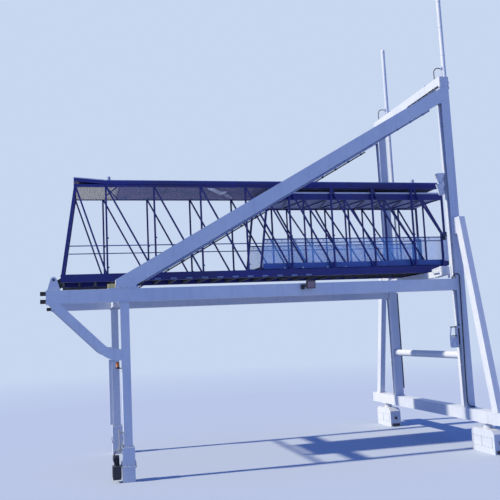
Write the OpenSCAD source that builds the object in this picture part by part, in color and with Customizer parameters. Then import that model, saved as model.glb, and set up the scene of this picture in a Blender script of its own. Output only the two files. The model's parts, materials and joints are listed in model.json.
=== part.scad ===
// Quay-side passenger boarding bridge: a telescopic lattice tunnel that tilts
// between two welded side frames, with its seaward end carried by a lift
// carriage on two masts. Millimetres, Z up. The origin is on the ground in the
// middle of the bridge; X runs out to the ship and Y runs along the quay.

/* [Overall] */
// Length from the rear buffers to the tunnel nose
overall_len = 14880; // [14600:20:16400]
// Distance between the middle planes of the two side frames
frame_gauge = 5400; // [4900:50:6200]
// Height of the top of the main beams
beam_top = 5820; // [5400:20:5900]
// Height of the top of the cross beam on the masts
mast_top = 13220; // [12800:20:13800]

/* [Side frames] */
// Width of the main beams, rear legs and inclined girders
beam_w = 260; // [200:10:320]
// Depth of the main beams
beam_h = 400; // [320:10:460]
// Length of the rubber buffers
buffer_len = 170; // [80:10:200]
// Side of the square rubber buffers
buffer_w = 160; // [120:10:180]
// Distance from the rear end of the main beams to the pivot
pivot_setback = 230; // [200:10:320]
// Distance from the rear end of the main beams to the rear legs
leg_setback = 2340; // [2000:20:2700]
// Width of the rear legs along the bridge
leg_w = 260; // [200:10:320]
// Height of the lower box of the rear feet
foot_low_h = 420; // [300:10:520]
// Height of the upper box of the rear feet
foot_up_h = 540; // [400:10:640]
// Width of the rear feet
foot_w = 370; // [340:10:440]
// Thickness of bolted flanges and end plates
flange_t = 25; // [16:1:32]
// Projection of the bolted flanges
flange_lip = 40; // [25:5:60]
// Depth of the knee braces
brace_d = 260; // [200:10:300]
// Distance from the rear legs to the upper end of the knee braces
brace_reach = 2180; // [1700:20:2180]
// Length of the bent knuckle at the foot of the knee braces
knuckle_len = 410; // [360:10:460]
// Radius of the bend above the knuckle
knuckle_r = 420; // [300:20:500]
// Depth of the inclined girders
girder_d = 460; // [400:10:520]
// Drop of the girder top below the mast top
girder_drop = 450; // [420:10:700]
// Length of the girder's seat on the main beam
girder_seat = 950; // [900:10:1100]

/* [Masts] */
// Distance between the rear legs and the masts
leg_to_mast = 11700; // [11500:50:12000]
// Width of the masts along the bridge
mast_w = 330; // [280:10:380]
// Depth of the rolled mast section
mast_d = 200; // [180:10:240]
// Thickness of the mast flanges
mast_flange = 25; // [16:1:32]
// Thickness of the mast web
mast_web = 20; // [12:1:28]
// Number of stiffened stations on each mast
mast_ribs = 7; // [4:1:9]
// Depth of the guide rail on the inner side of the masts
rail_d = 130; // [100:5:160]
// Height of the cross beam on the masts
top_beam_h = 380; // [300:10:420]
// Width of the cross beam on the masts
top_beam_w = 370; // [340:10:440]
// Height at which the tie tube joins the masts
tie_z = 3130; // [2600:10:3800]
// Diameter of the tie tube
tie_dia = 260; // [200:10:320]
// Width of the side struts along the bridge
strut_w = 220; // [160:10:280]
// Depth of the side struts
strut_d = 320; // [240:10:380]
// Height of the upper end of the side struts
strut_z = 7970; // [7400:10:8400]
// Distance from the mast's outer face to the upper outer corner of the side struts
strut_off = 420; // [360:10:480]
// Height of the gussets between the masts and the side struts
strut_gusset = 570; // [400:10:700]

/* [Front base] */
// Top of the sill beam above the ground
sill_top = 1340; // [1240:10:1460]
// Height of the sill beam
sill_h = 390; // [320:10:420]
// Width of the sill beam
sill_w = 400; // [380:10:480]
// Overhang of the sill beam outside the side frames
sill_reach = 2120; // [1900:20:2300]
// Length of the bogies along the quay
bogie_len = 1300; // [1100:10:1600]
// Width of the bogies
bogie_w = 460; // [400:10:560]
// Height of the bogie body
bogie_h = 760; // [640:10:780]
// Distance from the ends of the sill beam to the bogies
bogie_inset = 420; // [200:10:600]

/* [Lift] */
// Outer diameter of the cylinder barrels
barrel_dia = 160; // [140:2:180]
// Wall of the cylinder barrels
barrel_wall = 20; // [12:1:24]
// Diameter of the piston rods
rod_dia = 90; // [70:2:92]
// Height of the barrel above the mast top
barrel_above = 3260; // [3000:20:3800]
// Length of the barrel below the mast top
barrel_below = 3300; // [3000:20:3500]
// Distance from the mast face to the middle of the barrel
barrel_off = 130; // [120:5:160]
// Length of rod inside the barrel at rest
rod_stay = 1500; // [1200:20:1600]
// Height of the carriage beam under the tunnel
carriage_h = 220; // [180:10:240]
// Width of the carriage beam along the bridge
carriage_w = 320; // [260:10:360]
// Thickness of the carriage arms beside the masts
arm_w = 140; // [120:5:150]
// Height of the carriage arms
arm_h = 300; // [240:10:340]
// Running clearance between the carriage and the rest
lift_gap = 25; // [20:1:35]

/* [Tunnel] */
// Height of the underside of the tunnel at rest
tunnel_z = 6190; // [6150:10:6260]
// Outside height of the tunnel up to the edge of the roof
tunnel_h = 3425; // [3300:5:3600]
// Outside width of the outer tunnel
tunnel_w = 2400; // [2300:20:2600]
// Distance from the pivot to the rear end of the tunnel
tunnel_setback = 180; // [150:10:240]
// Height of the tunnel's underside above the pivot
pivot_drop = 40; // [0:10:80]
// Forward lean of the rear end frame
rear_lean = 480; // [300:20:600]
// Length of one bay of the lattice
bay = 1620; // [1560:10:1660]
// Number of whole bays of the lattice
bays = 7; // [6:1:7]
// Length of the first bay at the rear
first_bay = 1520; // [1400:10:1600]
// Distance from the front edge of the outer roof to the nose
nose_reach = 340; // [280:10:420]
// Distance from the front end of the outer tunnel to its rear slide pads
back_pad_off = 3100; // [2900:20:3300]
// Distance from the front end of the outer tunnel to its front slide pads
front_pad_off = 250; // [230:10:400]
// Width of the chords
chord_w = 100; // [90:5:120]
// Height of the floor chords
sole_h = 260; // [220:10:280]
// Height of the roof chords
chord_h = 90; // [70:5:110]
// Width of the rear leaning uprights
rear_post_w = 90; // [70:5:110]
// Width of the uprights
post_w = 60; // [50:5:90]
// Width of the diagonals
diag_w = 55; // [45:5:70]
// Thickness of the floor deck
deck_t = 60; // [40:5:90]
// Width of the joists under the deck
joist_w = 70; // [50:5:90]
// Number of joists in each bay
joists = 3; // [2:1:4]
// Height of the roof edge
roof_h = 135; // [100:5:150]
// Rise of the roof from its edges to its middle
roof_camber = 50; // [30:5:80]
// Overhang of the roof past the lattice
roof_over = 30; // [20:5:60]
// Lift of the near edge of the rear roof panel
panel_lift = 90; // [40:5:120]
// Overhang of the floor chords past the front edge of the roof
sole_over = 180; // [120:10:200]
// Width of the short posts at the front end
front_post_w = 170; // [100:10:180]
// Height of the short posts above the deck
front_post_h = 1200; // [1100:10:1300]
// Height of the handrails above the walkway
rail_h = 950; // [880:10:1000]
// Diameter of the handrails
rail_dia = 36; // [30:1:38]

/* [Inner tunnel] */
// Length of the inner tunnel
inner_len = 7420; // [7000:20:8000]
// Outside height of the inner tunnel
inner_h = 2730; // [2600:10:2780]
// Running clearance between the two tunnels
slide_gap = 30; // [25:1:40]
// Width of the inner chords
inner_chord = 70; // [60:5:80]
// Width of the inner uprights
inner_post = 50; // [40:2:60]
// Length of one bay of the inner lattice
inner_bay = 1600; // [1500:10:1650]
// Thickness of the inner deck
inner_deck = 80; // [60:5:90]
// Height of the kick boards, which cover the floor chords
kick_h = 200; // [160:5:230]
// Height of the top of the glass parapet above the inner deck
glass_h = 975; // [880:5:1000]
// Thickness of the glass
glass_t = 16; // [12:1:24]
// Forward lean of the inner rear frame
inner_lean = 360; // [200:20:400]
// Height of the inner roof edge
inner_roof_h = 160; // [120:10:200]
// Height of the pale trim on the inner roof
trim_h = 60; // [40:5:70]
// Length of the rubber nose
nose_len = 60; // [50:5:100]
// Height of the sides of the rubber nose above the inner deck
nose_h = 1190; // [1100:10:1300]

/* [Fittings] */
// Distance from the rear leg to the floodlight
flood_off = 5880; // [5700:20:6000]
// Width of the floodlight
flood_w = 300; // [240:10:400]
// Diameter of the warning beacon
beacon_dia = 130; // [100:5:160]
// Height of the control cabinet
cabinet_h = 740; // [600:10:900]
// Diameter of the large bell of the siren
siren_dia = 380; // [300:10:420]
// Height of the siren
siren_h = 770; // [600:10:820]
// Width of the cable tray on the far mast
tray_w = 160; // [120:10:200]
// Diameter of the hydraulic hoses
hose_dia = 34; // [26:2:40]
// Height at which the hoses start to bend
hose_rise = 300; // [200:10:360]
// Width of the hydraulic unit
unit_w = 260; // [200:10:300]
// Height of the risers above the hydraulic unit's base
riser_h = 1450; // [1200:10:1600]
// Distance from the girder's rear end to the start of its conduit
conduit_off = 900; // [800:20:1000]
// Distance from the front edge of the outer roof to the front lamp
lamp_inset = 990; // [900:10:1100]

/* [Hidden] */
round_fn = 48;
seat_gap = 0.3;
bore_gap = 0.4;
plate_t = 12;
shaft_dia = 80;
knuckle_fall = 8;

// Stations along X
x_left = -overall_len / 2;
x_right = overall_len / 2;
beam_x = x_left + buffer_len;
pivot_x = beam_x + pivot_setback;
leg_x = beam_x + leg_setback;
leg_back = leg_x - leg_w / 2;
mast_x = leg_x + leg_to_mast;
mast_back = mast_x - mast_w / 2;
mast_front = mast_x + mast_w / 2;
barrel_x = mast_front + barrel_off;
tunnel_x = pivot_x + tunnel_setback;
tunnel_end = x_right - nose_reach;
sole_end = tunnel_end + sole_over;
joist_x = tunnel_x + 40;
joist_step = bay / joists;
inner_end = x_right - nose_len;
inner_x = inner_end - inner_len;

// Stations along Y, for the near side frame; the far one is its mirror image
frame_y = frame_gauge / 2;
face_y = frame_y + beam_w / 2;
beam_in = frame_y - beam_w / 2;
mast_in = face_y - mast_d;
rail_in = mast_in - rail_d;
sill_y = frame_y + sill_reach;
arm_out = rail_in - lift_gap + 5;
arm_in = arm_out - arm_w;
barrel_y = arm_in + arm_w / 2;
tunnel_y = tunnel_w / 2;
post_in = tunnel_y - (chord_w + diag_w) / 2;
inner_y = tunnel_y - chord_w - slide_gap;
board_t = 20;
inner_post_in = inner_y - board_t - inner_post;

// Levels
beam_under = beam_top - beam_h;
foot_h = foot_low_h + 2 * flange_t + foot_up_h;
brace_x = leg_x - brace_reach - brace_d / 2;
knuckle_z = beam_under + brace_x - leg_back + (knuckle_len + 30) * (1 - tan(knuckle_fall));
sill_under = sill_top - sill_h;
mast_foot = sill_top + flange_t;
top_beam_under = mast_top - top_beam_h;
pivot_z = tunnel_z - pivot_drop;
eaves = tunnel_z + tunnel_h;
roof_under = eaves - roof_h;
deck_top = tunnel_z + sole_h;
inner_z = deck_top + slide_gap;
walk_z = inner_z + inner_deck;
inner_top = inner_z + inner_h;
carriage_top = tunnel_z - lift_gap;
carriage_under = carriage_top - carriage_h;
carriage_x = mast_back - lift_gap - carriage_w;
barrel_z = mast_top - barrel_below;
hose_bend = 180;
port_z = mast_top + hose_rise + hose_bend;

// Line of the girder's top edge: ends, slope and upright depth
girder_x = leg_x - 240;
girder_z = beam_top + flange_t + 270;
girder_end_z = mast_top - girder_drop;
girder_slope = (girder_end_z - girder_z) / (mast_back - girder_x);
girder_v = girder_d * sqrt(1 + girder_slope * girder_slope);
function girder_under(x) = girder_z - girder_v + (x - girder_x) * girder_slope;

// Stations of the uprights
outer_posts = [for (i = [0:bays]) tunnel_x + first_bay + i * bay];
inner_last = tunnel_end - 580;
inner_posts = [for (i = [3:-1:0]) inner_last - i * inner_bay];

// Copies a part of the near side frame to the other side when side is 1
module on_side(side) {
    mirror([0, side > 0 ? 1 : 0, 0]) children();
}

// Stands a drawing in X and Z upright as a plate from y to y + t
module upright_plate(y, t) {
    translate([0, y + t, 0]) rotate([90, 0, 0]) linear_extrude(t) children();
}

// Stands a drawing in Y and Z upright as a plate from x to x + t
module cross_plate(x, t) {
    translate([x, 0, 0]) rotate([90, 0, 90]) linear_extrude(t) children();
}

// A straight bar of width w between two points of a drawing
module bar(p, q, w) {
    run = q - p;
    translate(p) rotate(atan2(run.y, run.x)) translate([0, -w / 2]) square([norm(run), w]);
}

// A round tube or rod along Y between two ends
module rod_y(x, z, y0, y1, dia) {
    translate([x, y0, z]) rotate([-90, 0, 0]) cylinder(h = y1 - y0, d = dia, $fn = round_fn);
}

// A round tube or rod along X between two ends
module rod_x(y, z, x0, x1, dia) {
    translate([x0, y, z]) rotate([0, 90, 0]) cylinder(h = x1 - x0, d = dia, $fn = round_fn);
}

// A round tube or rod along Z between two ends
module rod_z(x, y, z0, z1, dia) {
    translate([x, y, z0]) cylinder(h = z1 - z0, d = dia, $fn = round_fn);
}

// Box from one corner to the opposite one
module block(low, high) {
    translate(low) cube(high - low);
}

// Points of an arc around c, from angle a0 to a1
function arc(c, r, a0, a1, n = 8) =
    [for (i = [0:n]) c + r * [cos(a0 + (a1 - a0) * i / n), sin(a0 + (a1 - a0) * i / n)]];

// Rounded corner at c between a 45 degree slope and the knuckle's gentle fall
function bend_arc(c, r) =
    let (t = r * tan((45 - knuckle_fall) / 2))
    arc(c + r * [cos(45), sin(45)] + t * [-cos(45), sin(45)], r, -135, -90 - knuckle_fall);

function reversed(list) = [for (i = [len(list) - 1:-1:0]) list[i]];

// Box beam with bolted end plates
module main_beam(side) {
    color("gainsboro") on_side(side) {
        block([beam_x, -face_y, beam_under], [mast_back, -beam_in, beam_top]);
        block([beam_x, -face_y, beam_under - flange_lip / 2],
              [beam_x + flange_t, -beam_in, beam_top + flange_lip / 2]);
        block([mast_back - flange_t, -face_y, beam_under - flange_lip],
              [mast_back, -beam_in, beam_top + flange_lip]);
    }
}

module rear_leg(side) {
    color("gainsboro") on_side(side) {
        leg_front = leg_x + leg_w / 2;
        lip = flange_lip - plate_t;
        block([leg_back, -face_y, foot_h + flange_t], [leg_front, -beam_in, beam_under - flange_t]);
        for (z = [foot_h, beam_under - flange_t])
            block([leg_back - lip, -face_y - flange_lip / 2, z],
                  [leg_front + lip, -beam_in + flange_lip / 2, z + flange_t]);
    }
}

// Two stacked boxes with a bolted joint between them
module rear_foot(side) {
    color("gainsboro") on_side(side) {
        half = foot_w / 2;
        joint_z = foot_low_h + 2 * flange_t;
        translate([leg_x, -frame_y, 0]) {
            block([-half, -half, 0], [half, half, foot_low_h]);
            block([-half - flange_lip, -half - flange_lip, foot_low_h],
                  [half + flange_lip, half + flange_lip, joint_z]);
            block([-half, -half, joint_z], [half, half, foot_h]);
        }
    }
}

// Brace at 45 degrees that bends into a nearly level knuckle on the leg
module knee_brace(side) {
    run = brace_d * sqrt(2);
    line_z = beam_under + brace_x;
    corner = [leg_back - knuckle_len, line_z + run - leg_back + knuckle_len];
    low_corner = [leg_back - knuckle_len - 30, line_z - leg_back + knuckle_len + 30];
    color("gainsboro") on_side(side)
        upright_plate(-face_y, beam_w)
            polygon(concat(
                [[brace_x, beam_under], [brace_x + run, beam_under]],
                bend_arc(corner, knuckle_r),
                [[leg_back, corner.y - knuckle_len * tan(knuckle_fall)], [leg_back, knuckle_z]],
                reversed(bend_arc(low_corner, knuckle_r + brace_d))
            ));
}

// Box girder with a welded foot on the main beam and a bolted end plate
module inclined_girder(side) {
    seat_z = beam_top + flange_t;
    foot_x = girder_x + 610;
    color("gainsboro") on_side(side) {
        upright_plate(-face_y, beam_w)
            polygon([
                [girder_x, seat_z], [foot_x, seat_z], [foot_x, girder_under(foot_x)],
                [mast_back, girder_under(mast_back)], [mast_back, girder_end_z],
                [girder_x, girder_z]
            ]);
        block([girder_x - 270, -face_y - flange_lip / 2, beam_top],
              [girder_x - 270 + girder_seat, -beam_in + flange_lip / 2, seat_z]);
        block([mast_back - flange_t, -face_y, girder_under(mast_back) - flange_lip],
              [mast_back, -beam_in, girder_end_z + flange_lip]);
    }
}

// Rolled section with stiffeners in its recesses and a plate at each end
module mast(side) {
    rib_step = (top_beam_under - mast_foot) / (mast_ribs + 1);
    color("gainsboro") on_side(side) {
        translate([0, 0, mast_foot]) linear_extrude(top_beam_under - mast_foot) {
            translate([mast_back, -face_y]) square([mast_w, mast_flange]);
            translate([mast_back, -mast_in - mast_flange]) square([mast_w, mast_flange]);
            translate([mast_x - mast_web / 2, -face_y]) square([mast_web, mast_d]);
        }
        for (i = [1:mast_ribs])
            block([mast_back + 8, -face_y, mast_foot + i * rib_step],
                  [mast_front - 8, -mast_in, mast_foot + i * rib_step + plate_t]);
        block([mast_x - sill_w / 2, -face_y - flange_lip / 2, sill_top],
              [mast_x + sill_w / 2, -rail_in + flange_lip / 2, mast_foot]);
    }
}

module guide_rail(side) {
    color("white") on_side(side)
        block([mast_back, -mast_in, mast_foot], [mast_front, -rail_in, top_beam_under]);
}

// Raking strut from the sill beam to the mast, with a level top and a gusset beside it
module side_strut(side) {
    foot_out = -sill_y + 270;
    foot_in = foot_out + strut_d;
    top_out = -face_y - strut_off;
    lean = (top_out - foot_out) / (strut_z - mast_foot);
    gusset_z = strut_z - strut_gusset;
    color("gainsboro") on_side(side) {
        cross_plate(mast_x - strut_w / 2, strut_w)
            polygon([
                [-face_y, strut_z], [top_out, strut_z], [foot_out, mast_foot], [foot_in, mast_foot],
                [foot_in + lean * (gusset_z - mast_foot), gusset_z], [-face_y, gusset_z]
            ]);
        block([mast_x - strut_w / 2 - flange_lip, foot_out - flange_lip, sill_top],
              [mast_x + strut_w / 2 + flange_lip, foot_in + flange_lip, mast_foot]);
    }
}

// Tapered pedestal with the bore for the tunnel's pivot shaft
module pivot_bracket(side) {
    head_r = 95;
    color("gainsboro") on_side(side)
        difference() {
            upright_plate(-frame_y - 60, 120)
                polygon(concat(
                    [[pivot_x - 200, beam_top], [pivot_x + 200, beam_top]],
                    arc([pivot_x, pivot_z], head_r, 20, 160, 10)
                ));
            rod_y(pivot_x, pivot_z, -frame_y - 100, -frame_y + 100, shaft_dia + 2 * bore_gap);
        }
}

// Long barrel with a gland at its foot, a domed cap and a saddle on the cross beam
module lift_cylinder(side) {
    z1 = mast_top + barrel_above;
    inside = barrel_dia - 2 * barrel_wall;
    gland_h = 120;
    saddle_w = 220;
    color("gainsboro") on_side(side) translate([barrel_x, -barrel_y, 0])
        difference() {
            union() {
                rod_z(0, 0, barrel_z, z1 - barrel_dia / 2, barrel_dia);
                translate([0, 0, z1 - barrel_dia / 2])
                    rotate_extrude($fn = round_fn) intersection() {
                        circle(d = barrel_dia, $fn = round_fn);
                        square(barrel_dia);
                    }
                rod_z(0, 0, barrel_z, barrel_z + gland_h, barrel_dia + 50);
                for (z = [top_beam_under + 40, mast_top - 140])
                    block([mast_x + top_beam_w / 2 - barrel_x, -saddle_w / 2, z],
                          [barrel_dia / 2 + 20, saddle_w / 2, z + 100]);
                block([-barrel_dia / 2 - 50, -40, port_z - 40], [0, 40, port_z + 40]);
            }
            rod_z(0, 0, barrel_z - 1, barrel_z + gland_h + 1, rod_dia + 2 * bore_gap);
            rod_z(0, 0, barrel_z + gland_h, z1 - barrel_dia, inside);
        }
}

// Closed bogie with chamfered top edges, under a turning pedestal
module bogie(side) {
    half = bogie_len / 2;
    cut = 120;
    color("gainsboro") on_side(side)
        translate([0, -sill_y + bogie_inset + half, 0]) {
            cross_plate(mast_x - bogie_w / 2, bogie_w)
                polygon([
                    [-half, 0], [half, 0], [half, bogie_h - cut], [half - cut, bogie_h],
                    [cut - half, bogie_h], [-half, bogie_h - cut]
                ]);
            rod_z(mast_x, 0, bogie_h, sill_under - flange_t, sill_w * 0.75);
            block([mast_x - sill_w / 2, -sill_w / 2, sill_under - flange_t],
                  [mast_x + sill_w / 2, sill_w / 2, sill_under]);
        }
}

module rear_buffers() {
    pad_h = buffer_w * 0.75;
    color("black") for (side = [-1, 1]) on_side(side)
        for (z = [beam_under + 20, beam_top - 20 - pad_h])
            block([x_left, -frame_y - buffer_w / 2, z], [beam_x, -frame_y + buffer_w / 2, z + pad_h]);
}

module rear_cross_beam() {
    color("gainsboro")
        block([leg_back, -beam_in, beam_under + 40], [leg_back + leg_w, beam_in, beam_top - 40]);
}

module front_sill_beam() {
    color("gainsboro")
        block([mast_x - sill_w / 2, -sill_y, sill_under], [mast_x + sill_w / 2, sill_y, sill_top]);
}

// Cross beam that ties the mast tops, with an end plate on each end
module top_cross_beam() {
    color("gainsboro") {
        block([mast_x - top_beam_w / 2, -face_y, top_beam_under],
              [mast_x + top_beam_w / 2, face_y, mast_top]);
        for (y = [-face_y - plate_t, face_y])
            block([mast_x - top_beam_w / 2 + 15, y, top_beam_under + 15],
                  [mast_x + top_beam_w / 2 - 15, y + plate_t, mast_top - 15]);
    }
}

module mast_tie_tube() {
    color("gainsboro") {
        rod_y(mast_x, tie_z, -rail_in + plate_t, rail_in - plate_t, tie_dia);
        for (y = [-rail_in, rail_in - plate_t]) rod_y(mast_x, tie_z, y, y + plate_t, tie_dia + 50);
    }
}

// Lattice side of the outer tunnel: its last diagonal lands on a short front post
module outer_truss(side) {
    z0 = tunnel_z + sole_h / 2;
    z1 = roof_under - chord_h / 2;
    top_x = tunnel_x + rear_lean;
    rear_half = rear_post_w / 2;
    last = bays;
    front_top = deck_top + front_post_h;
    color("midnightblue") on_side(side) {
        upright_plate(-tunnel_y, chord_w) {
            translate([tunnel_x, tunnel_z]) square([sole_end - tunnel_x, sole_h]);
            translate([top_x, roof_under - chord_h]) square([tunnel_end - top_x, chord_h]);
            bar([tunnel_x + rear_half, z0], [top_x + rear_half, z1], rear_post_w);
        }
        upright_plate(-tunnel_y + (chord_w - diag_w) / 2, diag_w) {
            for (x = outer_posts) bar([x, z0], [x, z1], post_w);
            translate([sole_end - front_post_w, z0]) square([front_post_w, front_top - z0]);
            bar([top_x + rear_half, z1], [outer_posts[0], z0], diag_w);
            for (i = [0:last - 1]) bar([outer_posts[i], z1], [outer_posts[i + 1], z0], diag_w);
            bar([outer_posts[last] + post_w, z1], [sole_end - front_post_w / 2, front_top - post_w],
                diag_w);
        }
    }
}

// Cambered roof over every bay but the first
module outer_roof() {
    half = tunnel_y + roof_over;
    color("midnightblue")
        cross_plate(outer_posts[0], tunnel_end - outer_posts[0])
            polygon([
                [-half, roof_under], [half, roof_under], [half, eaves],
                [0, eaves + roof_camber], [-half, eaves]
            ]);
}

// Rear roof panel, twisted so that its near edge lifts and its far edge drops
module rear_roof_panel() {
    half = tunnel_y + roof_over;
    top_x = tunnel_x + rear_lean;
    slice = 10;
    module slice_at(x, lift) {
        cross_plate(x, slice)
            polygon([
                [-half, roof_under + lift], [half, roof_under], [half, eaves - lift],
                [0, eaves + roof_camber], [-half, eaves + lift]
            ]);
    }
    color("midnightblue") hull() {
        slice_at(top_x, panel_lift);
        slice_at(outer_posts[0] - slice, 0);
    }
}

// Flat ceiling between the roof chords
module outer_ceiling() {
    half = tunnel_y - chord_w;
    color("rosybrown")
        block([tunnel_x + rear_lean + rear_post_w, -half, roof_under - chord_h + 20],
              [tunnel_end, half, roof_under - chord_h + 50]);
}

// Deck on joists between the floor chords
module outer_floor() {
    half = tunnel_y - chord_w;
    count = floor((sole_end - joist_w - joist_x) / joist_step);
    color("dimgray") {
        block([tunnel_x, -half, deck_top - deck_t], [sole_end, half, deck_top]);
        for (i = [0:count])
            block([joist_x + i * joist_step, -half, tunnel_z + 20],
                  [joist_x + i * joist_step + joist_w, half, deck_top - deck_t]);
    }
}

// Shaft across the bridge, with the lugs that carry the rear of the tunnel
module pivot_shaft() {
    lug_t = 60;
    lug_r = 100;
    color("dimgray") {
        rod_y(pivot_x, pivot_z, -frame_y - 80, frame_y + 80, shaft_dia);
        rod_y(pivot_x, pivot_z, -frame_y + 70, frame_y - 70, shaft_dia + 60);
        for (y = [-tunnel_y + 250, tunnel_y - 250])
            upright_plate(y - lug_t / 2, lug_t)
                polygon(concat(
                    arc([pivot_x, pivot_z], lug_r, 100, 280, 12),
                    [[joist_x, tunnel_z + 20], [joist_x, deck_top - deck_t - 20]]
                ));
    }
}

module outer_handrails() {
    y = post_in - rail_dia / 2 - seat_gap;
    z = deck_top + rail_h;
    lean_x = tunnel_x + 1.1 * rear_post_w + rear_lean * (z - tunnel_z - sole_h / 2)
        / (roof_under - chord_h / 2 - tunnel_z - sole_h / 2);
    color("slategray") for (side = [-1, 1]) on_side(side)
        rod_x(-y, z, lean_x, sole_end - 20, rail_dia);
}

// Low-friction pads on which the inner tunnel slides
module runner_pads() {
    pad_len = 200;
    color("black") for (side = [-1, 1]) on_side(side)
        for (x = [tunnel_end - back_pad_off, tunnel_end - front_pad_off])
            block([x, -inner_y, deck_top], [x + pad_len, -inner_y + inner_chord, inner_z - seat_gap]);
}

// Pipes under the rear bay on strap hangers
module service_pipes() {
    pipe_dia = 70;
    drop = 195;
    y0 = tunnel_y - 180;
    x0 = tunnel_x + 60;
    color("dimgray") {
        for (y = [-y0, 160 - y0])
            rod_x(y, tunnel_z - drop, x0, outer_posts[0] + 120, pipe_dia);
        for (x = [joist_x + joist_step + 15, joist_x + 2 * joist_step + 15])
            difference() {
                block([x, -y0 - pipe_dia, tunnel_z - drop - pipe_dia],
                      [x + 40, -y0 + 160 + pipe_dia, tunnel_z + 20 - seat_gap]);
                block([x - 1, -y0 - pipe_dia / 2, tunnel_z - drop - pipe_dia / 2],
                      [x + 41, -y0 + 160 + pipe_dia / 2, tunnel_z + 21]);
            }
    }
}

// Small lamps on the near edge of the roof
module roof_lamps() {
    lamp_h = 130;
    lamp_dia = 110;
    y = -tunnel_y + 60;
    rise = roof_camber * (tunnel_y + roof_over + y + lamp_dia / 2) / (tunnel_y + roof_over);
    color("gray") for (x = [outer_posts[0] + lamp_dia, tunnel_end - lamp_inset])
        rod_z(x, y, eaves + rise + seat_gap, eaves + lamp_h, lamp_dia);
}

// Side of the inner tunnel: chords, leaning rear frame, posts and diagonals
module inner_truss(side) {
    roof_z = inner_top - inner_roof_h;
    z0 = inner_z + inner_chord / 2;
    z1 = roof_z - inner_chord / 2;
    half = inner_chord / 2;
    top_x = inner_x + inner_lean;
    color("midnightblue") on_side(side) {
        upright_plate(-inner_y + board_t, inner_chord - board_t)
            translate([inner_x, inner_z]) square([inner_len, inner_chord]);
        upright_plate(-inner_y, inner_chord) {
            translate([top_x, roof_z - inner_chord]) square([inner_end - top_x, inner_chord]);
            bar([inner_x + half, z0], [top_x + half, z1], inner_chord);
            bar([inner_end - half, z0], [inner_end - half, z1], inner_chord);
        }
        upright_plate(-inner_y + board_t, inner_post) {
            for (x = inner_posts) bar([x, z0], [x, z1], inner_post);
            bar([top_x + half, z1], [inner_posts[0], z0], inner_post);
            for (i = [0:2]) bar([inner_posts[i], z1], [inner_posts[i + 1], z0], inner_post);
            bar([inner_posts[3], z1], [inner_end - half, walk_z + glass_h], inner_post);
        }
    }
}

module inner_roof() {
    color("midnightblue")
        block([inner_x + inner_lean, -inner_y, inner_top - inner_roof_h],
              [inner_end, inner_y, inner_top]);
}

module roof_trim() {
    color("white") for (side = [-1, 1]) on_side(side)
        block([inner_x + inner_lean, -inner_y, inner_top],
              [inner_end, -inner_y + 40, inner_top + trim_h]);
}

module inner_floor() {
    half = inner_y - inner_chord;
    color("dimgray") block([inner_x, -half, inner_z], [inner_end, half, walk_z]);
}

// Middle line of the leaning rear frame of the inner tunnel
function inner_frame_x(z) =
    let (z0 = inner_z + inner_chord / 2, z1 = inner_top - inner_roof_h - inner_chord / 2)
    inner_x + inner_chord / 2 + inner_lean * (z - z0) / (z1 - z0);

// Sheet of glass on the inner side of the posts, from the leaning frame to the front
module parapet_glass() {
    glass_end = inner_end - inner_chord;
    glass_top = walk_z + glass_h;
    color("lightblue") for (side = [-1, 1]) on_side(side)
        upright_plate(-inner_post_in, glass_t)
            polygon([
                [inner_frame_x(walk_z), walk_z], [glass_end, walk_z],
                [glass_end, glass_top], [inner_frame_x(glass_top), glass_top]
            ]);
}

module kick_boards() {
    color("royalblue") for (side = [-1, 1]) on_side(side)
        block([inner_x + 1.7 * inner_chord, -inner_y, inner_z],
              [inner_end - inner_chord, -inner_y + board_t, inner_z + kick_h]);
}

// Rubber bumper around the foot and the sides of the front end
module rubber_nose() {
    side_w = 150;
    color("black")
        cross_plate(inner_end, nose_len)
            polygon([
                [-inner_y, inner_z - 20], [inner_y, inner_z - 20], [inner_y, walk_z + nose_h],
                [inner_y - side_w, walk_z + nose_h], [inner_y - side_w, walk_z],
                [side_w - inner_y, walk_z], [side_w - inner_y, walk_z + nose_h],
                [-inner_y, walk_z + nose_h]
            ]);
}

module inner_handrails() {
    dia = rail_dia + 6;
    y = inner_post_in - dia / 2 - seat_gap;
    z = walk_z + glass_h + dia / 2 + seat_gap;
    color("slategray") for (side = [-1, 1]) on_side(side)
        rod_x(-y, z, inner_frame_x(z), inner_end - 20, dia);
}

// Beam under the tunnel with raised ends beside it, and arms and shoes on the guide rails
module lift_carriage() {
    end_in = tunnel_y + roof_over + 580;
    end_lift = 75;
    end_under = carriage_under + 145;
    recess = 80;
    arm_z = carriage_under + 55;
    color("whitesmoke") {
        cross_plate(carriage_x + recess, carriage_w - recess)
            polygon([
                [-arm_out, arm_z], [-arm_out, carriage_top], [arm_out, carriage_top],
                [arm_out, arm_z], [end_in, carriage_under], [-end_in, carriage_under]
            ]);
        for (side = [-1, 1]) on_side(side) {
            cross_plate(carriage_x, carriage_w)
                polygon([
                    [-arm_out, end_under], [-arm_out, arm_z + arm_h],
                    [-end_in, carriage_top + end_lift], [-end_in, end_under]
                ]);
            block([carriage_x, -arm_out, arm_z], [barrel_x + rod_dia, -arm_in, arm_z + arm_h]);
            for (x = [mast_back - lift_gap, mast_front + seat_gap])
                block([x, -rail_in - 60, arm_z - 120], [x + lift_gap - seat_gap, -arm_in, arm_z + arm_h]);
        }
    }
}

module piston_rods() {
    arm_top = carriage_under + 55 + arm_h;
    color("silver") for (side = [-1, 1]) on_side(side) {
        rod_z(barrel_x, -barrel_y, arm_top, barrel_z + rod_stay, rod_dia);
        rod_z(barrel_x, -barrel_y, arm_top, arm_top + 60, rod_dia + 40);
    }
}

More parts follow.
